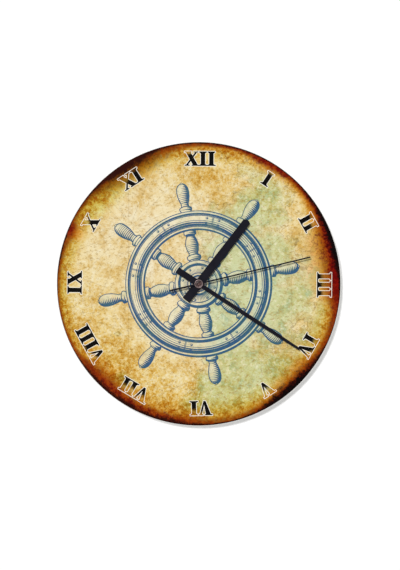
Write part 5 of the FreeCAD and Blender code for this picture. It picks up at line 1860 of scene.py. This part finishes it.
@dataclass
class Hands:
    """The three painted hands and the cap over them."""

    palette: Palette
    hour_angle: float = 37.7
    minute_angle: float = 123.0
    second_angle: float = 76.5
    edge: float = 0.09
    hour: tuple[float, float] = (24.9, 25.3)
    minute: tuple[float, float] = (26.9, 27.3)
    second: tuple[float, float] = (28.9, 29.2)
    cap: tuple[float, float] = (29.2, 30.8)

    def build(self) -> None:
        """Make the hands and the cap."""
        self.build_hand("hour_blade", "hour_hand", "hour_arm", self.hour, self.hour_outline(),
                        bore=3.1, angle=self.hour_angle)
        self.build_hand("minute_blade", "minute_hand", "minute_arm", self.minute, self.slender(
            length=126.4, tail=26.8, width=4.3, tip=2.5, tail_width=6.7, hub=4.2, knee=84.0,
            knee_width=4.0), bore=2.1, angle=self.minute_angle)
        self.build_hand("second_blade", "second_hand", "second_arm", self.second, self.slender(
            length=120.4, tail=31.2, width=1.5, tip=1.5, tail_width=1.9, hub=3.0, knee=60.0,
            knee_width=1.5), bore=0.5, angle=self.second_angle)
        self.build_cap()

    def build_hand(self, name: str, node: str, body: str, depths: tuple[float, float],
                   outline: Array, bore: float, angle: float) -> None:
        """One flat hand with bevelled edges, turned to its place on the dial.

        Args:
            name: Name of the piece.
            node: Node that it stands for.
            body: Body that it moves with.
            depths: Depth of its rear and front.
            outline: Its outline while it points to XII, anticlockwise.
            bore: Radius of the hole for its collet.
            angle: Clockwise angle from XII at rest.
        """
        hole = turned_to(circle((0.0, 0.0), bore, 40), angle)
        made = piece(name, plate_mesh(turned_to(outline, angle), [hole], *depths, self.edge),
                     self.palette, body, "black_paint", smooth=20.0)
        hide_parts(node)

    def hour_outline(self) -> Array:
        """The broad hour hand: square tail and shallow rounded end.

        Returns:
            Its outline, anticlockwise.
        """
        half, half_tip, length, rise, tail = 4.5, 4.15, 84.6, 2.3, 21.9
        shoulder = length - rise
        radius = (half_tip ** 2 + rise ** 2) / (2 * rise)
        sweep = math.asin(half_tip / radius)
        angles = np.linspace(sweep, -sweep, 17)
        arc = np.stack([radius * np.sin(angles), length - radius + radius * np.cos(angles)], axis=1)
        sides = np.array([(-half, 0.0), (-half, -tail), (half, -tail), (half, 0.0)])
        arc[0, 1] = arc[-1, 1] = shoulder
        return np.concatenate([sides, arc])

    def slender(self, length: float, tail: float, width: float, tip: float, tail_width: float,
                hub: float, knee: float, knee_width: float) -> Array:
        """A long hand whose pointer and tail meet in a round hub.

        Args:
            length: From the centre to the tip.
            tail: From the centre to the tail's end.
            width: Width of the pointer at the centre.
            tip: Width of the pointer at its tip.
            tail_width: Width of the tail.
            hub: Radius of the hub.
            knee: Distance from the centre at which the pointer starts to taper.
            knee_width: Width of the pointer there.

        Returns:
            The outline, anticlockwise.
        """
        low = math.asin(tail_width / 2 / hub)
        high = math.asin(width / 2 / hub)
        right = np.linspace(-math.pi / 2 + low, math.pi / 2 - high, 20)
        left = np.linspace(math.pi / 2 + high, 3 * math.pi / 2 - low, 20)
        return np.concatenate([
            [(-tail_width / 2, -tail), (tail_width / 2, -tail)], polar(hub, right),
            [(knee_width / 2, knee), (tip / 2, length), (-tip / 2, length),
             (-knee_width / 2, knee)], polar(hub, left)])

    def build_cap(self) -> None:
        """The cap: a rolled rim round a shallow bowl with a low button in its middle."""
        near, far = self.cap
        outline = [(0.0, near), (4.3, near), (4.65, near + 0.22), (4.62, near + 0.62),
                   (4.36, near + 0.98), (3.98, near + 1.1), (3.62, near + 1.0), (3.3, near + 0.78),
                   (2.6, near + 0.72), (1.7, near + 0.9), (0.9, near + 1.3), (0.4, near + 1.52),
                   (0.0, far)]
        made = piece("cap_button", turned_mesh(softened(outline, 0.25, 3), 96), self.palette,
                     "second_arm", "polished_cap", smooth=60.0)
        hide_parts("hub_cap")


@dataclass
class Clamp:
    """Washer, nut and threaded bush that hold the dial to the movement."""

    palette: Palette
    growth: Growth
    # Inner and outer radius, then rear and front
    washer: tuple[float, float, float, float] = (4.2, 7.3, 20.2, 20.8)
    # Radius of the bore, half of the width across the flats, then rear and front
    nut: tuple[float, float, float, float] = (4.0, 5.5, 20.8, 22.8)
    nut_chamfer: float = 0.35
    # Radii of the bore, the thread's root, the thread and the head
    bush: tuple[float, float, float, float] = (2.55, 3.72, 4.0, 5.6)
    # Depths of the bush's rear, the front of its head and its front
    bush_depths: tuple[float, float, float] = (13.7, 14.8, 23.4)
    thread: dict[str, float] = field(default_factory=lambda: {
        "start": 15.0, "length": 7.9, "turns": 10.5, "ridge": 0.2})

    def build(self) -> None:
        """Make the washer, the nut and the bush."""
        self.build_washer()
        self.build_nut()
        self.build_bush()

    def build_washer(self) -> None:
        """The stamped washer with its rolled edge."""
        inner, outer, near, far = self.washer
        outline = softened([(inner, near), (outer, near), (outer, far), (inner, far)], 0.22)
        made = piece("washer_ring", turned_mesh(outline, 128), self.palette, "case", "nickel")
        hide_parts("dial_washer")

    def build_nut(self) -> None:
        """The six-sided nut, its corners turned off to a cone front and rear."""
        bore, flats, near, far = self.nut
        turn = math.pi / 3
        angles = np.arange(96) * 2 * math.pi / 96
        sides = flats / np.cos((angles + turn / 2) % turn - turn / 2)
        low, high = flats + 0.12, flats / math.cos(turn / 2)
        rings = [(np.minimum(sides, reach), near + share * (far - near))
                 for share, reach in ((0.0, low), (0.16, high), (0.84, high), (1.0, low))]
        wide, cut = bore + self.nut_chamfer, self.nut_chamfer
        rings += [(wide, far), (bore, far - cut), (bore, near + cut), (wide, near)]
        bm = bmesh.new()
        close_rings(bm, [[bm.verts.new(place) for place in in_plan(polar(radii, angles), depth)]
                         for radii, depth in rings])
        made = piece("nut_hexagon", bm, self.palette, "case", "nickel", smooth=24.0)
        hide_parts("fixing_nut")

    def build_bush(self) -> None:
        """The bush with a real thread wound on its shank."""
        bore, root, crest, head = self.bush
        near, shoulder, far = self.bush_depths
        outline = [(bore, near), (head, near), (head, shoulder), (root, shoulder),
                   (root, far - 0.3), (root - 0.3, far), (bore, far)]
        bm = turned_mesh(softened(outline, 0.12, 2), 96)
        wire = self.thread["ridge"]
        ridge = self.growth.run(self.growth.helix, bpy.data.meshes.new("thread"), {
            "Turns": self.thread["turns"], "Radius": (crest - wire) * MM,
            "Length": self.thread["length"] * MM, "Wire": wire * MM, "Sides": 6,
            "Ink": self.palette.slots["nickel"]})
        stand_out(ridge, self.thread["start"])
        bm.from_mesh(mesh_of("thread", ridge))
        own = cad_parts["centre_bush"].material_slots[0].material
        slot = next(key for key, value in self.palette.slots.items() if value == own)
        made = piece("bush_thread", bm, self.palette, "case", slot)
        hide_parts("centre_bush")


@dataclass
class Movement:
    """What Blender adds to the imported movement: the coil's wire and marks at the knob."""

    palette: Palette
    growth: Growth
    wire: float = 0.125
    wire_turns: float = 52.0
    # How much shorter than its box the winding is, and how far its sleeve lies within
    winding_play: float = 0.3
    sleeve_depth: float = 0.1
    # Place of the knob, and of the arrows on it: how far from its centre and from the wall
    knob: Point = (8.18, 13.12)
    arrow_reach: float = 3.3
    arrow_depth: float = 0.42

    def build(self) -> None:
        """Make the added pieces."""
        self.build_winding()
        self.build_knob_marks()

    def build_winding(self) -> None:
        """The coil's copper wire, turn by turn on a sleeve."""
        low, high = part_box("coil_winding")
        middle = (low + high) / 2
        length = high.x - low.x - self.winding_play * MM
        radius = (high.z - low.z) / 2
        wire = self.wire * MM
        bm = self.growth.run(self.growth.helix, bpy.data.meshes.new("wire"), {
            "Turns": self.wire_turns, "Radius": radius - wire, "Length": length, "Wire": wire,
            "Sides": 6, "Ink": self.palette.slots["copper_wire"]})
        core = radius - self.sleeve_depth * MM
        sleeve = bmesh.ops.create_cone(bm, cap_ends=True, segments=48, radius1=core, radius2=core,
                                       depth=length)
        bmesh.ops.translate(bm, verts=sleeve["verts"], vec=(0.0, 0.0, length / 2))
        for vert in bm.verts:
            x, y, z = vert.co
            vert.co = (middle.x - length / 2 + z, middle.y + x, middle.z + y)
        face_out(bm)
        made = piece("copper_turns", bm, self.palette, "case", "copper_wire")
        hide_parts("coil_winding")

    def build_knob_marks(self) -> None:
        """Raised arrow heads on the knob's face that show which way it turns."""
        outline = np.array([(-1.1, -0.55), (0.95, 0.0), (-1.1, 0.55), (-0.6, 0.0)])
        arrow = plate_mesh(outline + np.array([0.0, self.arrow_reach]), [], 0.0, 0.16, 0.04)
        for vert in arrow.verts:
            x, y, z = vert.co
            vert.co = (x, z, y)
        ring = self.growth.run(self.growth.ring, mesh_of("arrow", arrow), {
            "Count": 4, "Ink": self.palette.slots["knob_plastic"]})
        highest = max(vert.co.z for vert in ring.verts)
        stand_out(ring, self.arrow_depth - highest / MM, self.knob)
        piece("knob_arrows", ring, self.palette, "setting_knob", "knob_plastic", smooth=None)


# Stage

@dataclass
class Studio:
    """Camera, lamps, world, wall and floor."""

    view_height: float = 601.0
    lens: float = 100.0
    right: float = 1.31
    up: float = -1.17
    film_front: float = 20.2
    # How far right and down the key's light moves on its way to the wall
    lamp_turn: Point = (0.19, 0.215)
    lamp_level: float = 0.62
    rear_level: float = 0.5
    lamp_width: float = 7.0
    fill_level: float = 0.38
    # Metres: half width of the stage, the wall just behind the clock, and the floor
    stage_reach: float = 3.0
    wall_place: float = 0.0006
    floor_level: float = -0.62

    def build(self) -> None:
        """Set the stage."""
        self.build_world()
        self.build_camera()
        self.build_lamps()
        self.build_stage()
        bpy.context.scene.view_settings.view_transform = "Standard"

    def build_world(self) -> None:
        """A plain fill for surfaces, white wherever it is seen directly or mirrored."""
        world = bpy.data.worlds.new("studio")
        bpy.context.scene.world = world
        w = emptied(world)
        path = w.add("ShaderNodeLightPath")
        seen = w.math("MAXIMUM", path.outputs["Is Camera Ray"],
                      w.math("MAXIMUM", path.outputs["Is Glossy Ray"],
                             path.outputs["Is Transmission Ray"]))
        fill = w.add("ShaderNodeBackground", {"Color": WHITE, "Strength": self.fill_level})
        white = w.add("ShaderNodeBackground", {"Color": WHITE, "Strength": 1.0})
        mixed = w.add("ShaderNodeMixShader", {0: seen, 1: fill.outputs[0], 2: white.outputs[0]})
        w.add("ShaderNodeOutputWorld", {"Surface": mixed.outputs[0]})

    def build_camera(self) -> None:
        """The camera, straight in front of the dial."""
        data = bpy.data.cameras.new("camera")
        data.lens = self.lens
        data.sensor_width = 36.0
        distance = self.view_height / data.sensor_width * data.lens
        camera = placed("camera", data)
        camera.location = (self.right * MM, -(distance + self.film_front) * MM, self.up * MM)
        camera.rotation_euler = (math.pi / 2, 0.0, 0.0)
        data.clip_end = 100.0
        bpy.context.scene.camera = camera

    def build_lamps(self) -> None:
        """A soft key from the upper left, and one behind for views of the back."""
        across, down = self.lamp_turn
        key = Vector((across, 1.0, -down)).normalized()
        rear = Vector((0.3, -1.0, -0.55)).normalized()
        for name, way, level in (("key_lamp", key, self.lamp_level / key.y),
                                 ("rear_lamp", rear, self.rear_level)):
            data = bpy.data.lights.new(name, "SUN")
            data.energy = level * math.pi
            data.angle = math.radians(self.lamp_width)
            lamp = placed(name, data)
            lamp.rotation_mode = "QUATERNION"
            lamp.rotation_quaternion = way.to_track_quat("-Z", "Y")

    def build_stage(self) -> None:
        """A white wall behind the clock, seen from the front, and a white floor below it."""
        reach, wall, ground = self.stage_reach, self.wall_place, self.floor_level
        for name, corners in (
                ("wall", [(-reach, wall, ground), (reach, wall, ground), (reach, wall, reach),
                          (-reach, wall, reach)]),
                ("floor", [(-reach, -reach, ground), (reach, -reach, ground),
                           (reach, reach, ground), (-reach, reach, ground)])):
            mesh = bpy.data.meshes.new(name)
            mesh.from_pydata(corners, [], [(0, 1, 2, 3)])
            mesh.materials.append(self.stage_paint(name))
            made = placed(name, mesh)

    def stage_paint(self, name: str) -> Material:
        """White that takes shadows, and is there only for the camera and from its front.

        Args:
            name: Name of the surface that it is for.

        Returns:
            A new material.
        """
        made = bpy.data.materials.new(name + "_paint")
        w = emptied(made)
        path = w.add("ShaderNodeLightPath")
        side = w.add("ShaderNodeNewGeometry")
        seen = w.times(path.outputs["Is Camera Ray"], w.minus(1.0, side.outputs["Backfacing"]))
        matt = w.add("ShaderNodeBsdfDiffuse", {"Color": (0.9, 0.9, 0.9, 1.0)})
        glow = w.add("ShaderNodeEmission", {"Strength": 0.14})
        lit = w.add("ShaderNodeAddShader", {0: matt.outputs[0], 1: glow.outputs[0]})
        clear = w.add("ShaderNodeBsdfTransparent")
        mixed = w.add("ShaderNodeMixShader", {0: seen, 1: clear.outputs[0], 2: lit.outputs[0]})
        w.add("ShaderNodeOutputMaterial", {"Surface": mixed.outputs[0]})
        return made


def main() -> None:
    """Build the whole scene."""
    logging.basicConfig(level=logging.INFO, format="%(name)s: %(message)s")
    Studio().build()
    palette = Palette(Effects())
    palette.dress_nodes()
    growth = Growth()
    Dial(palette, growth).build()
    Clamp(palette, growth).build()
    Hands(palette).build()
    Movement(palette, growth).build()
    bpy.context.view_layer.update()


if __name__ == "__main__":
    main()
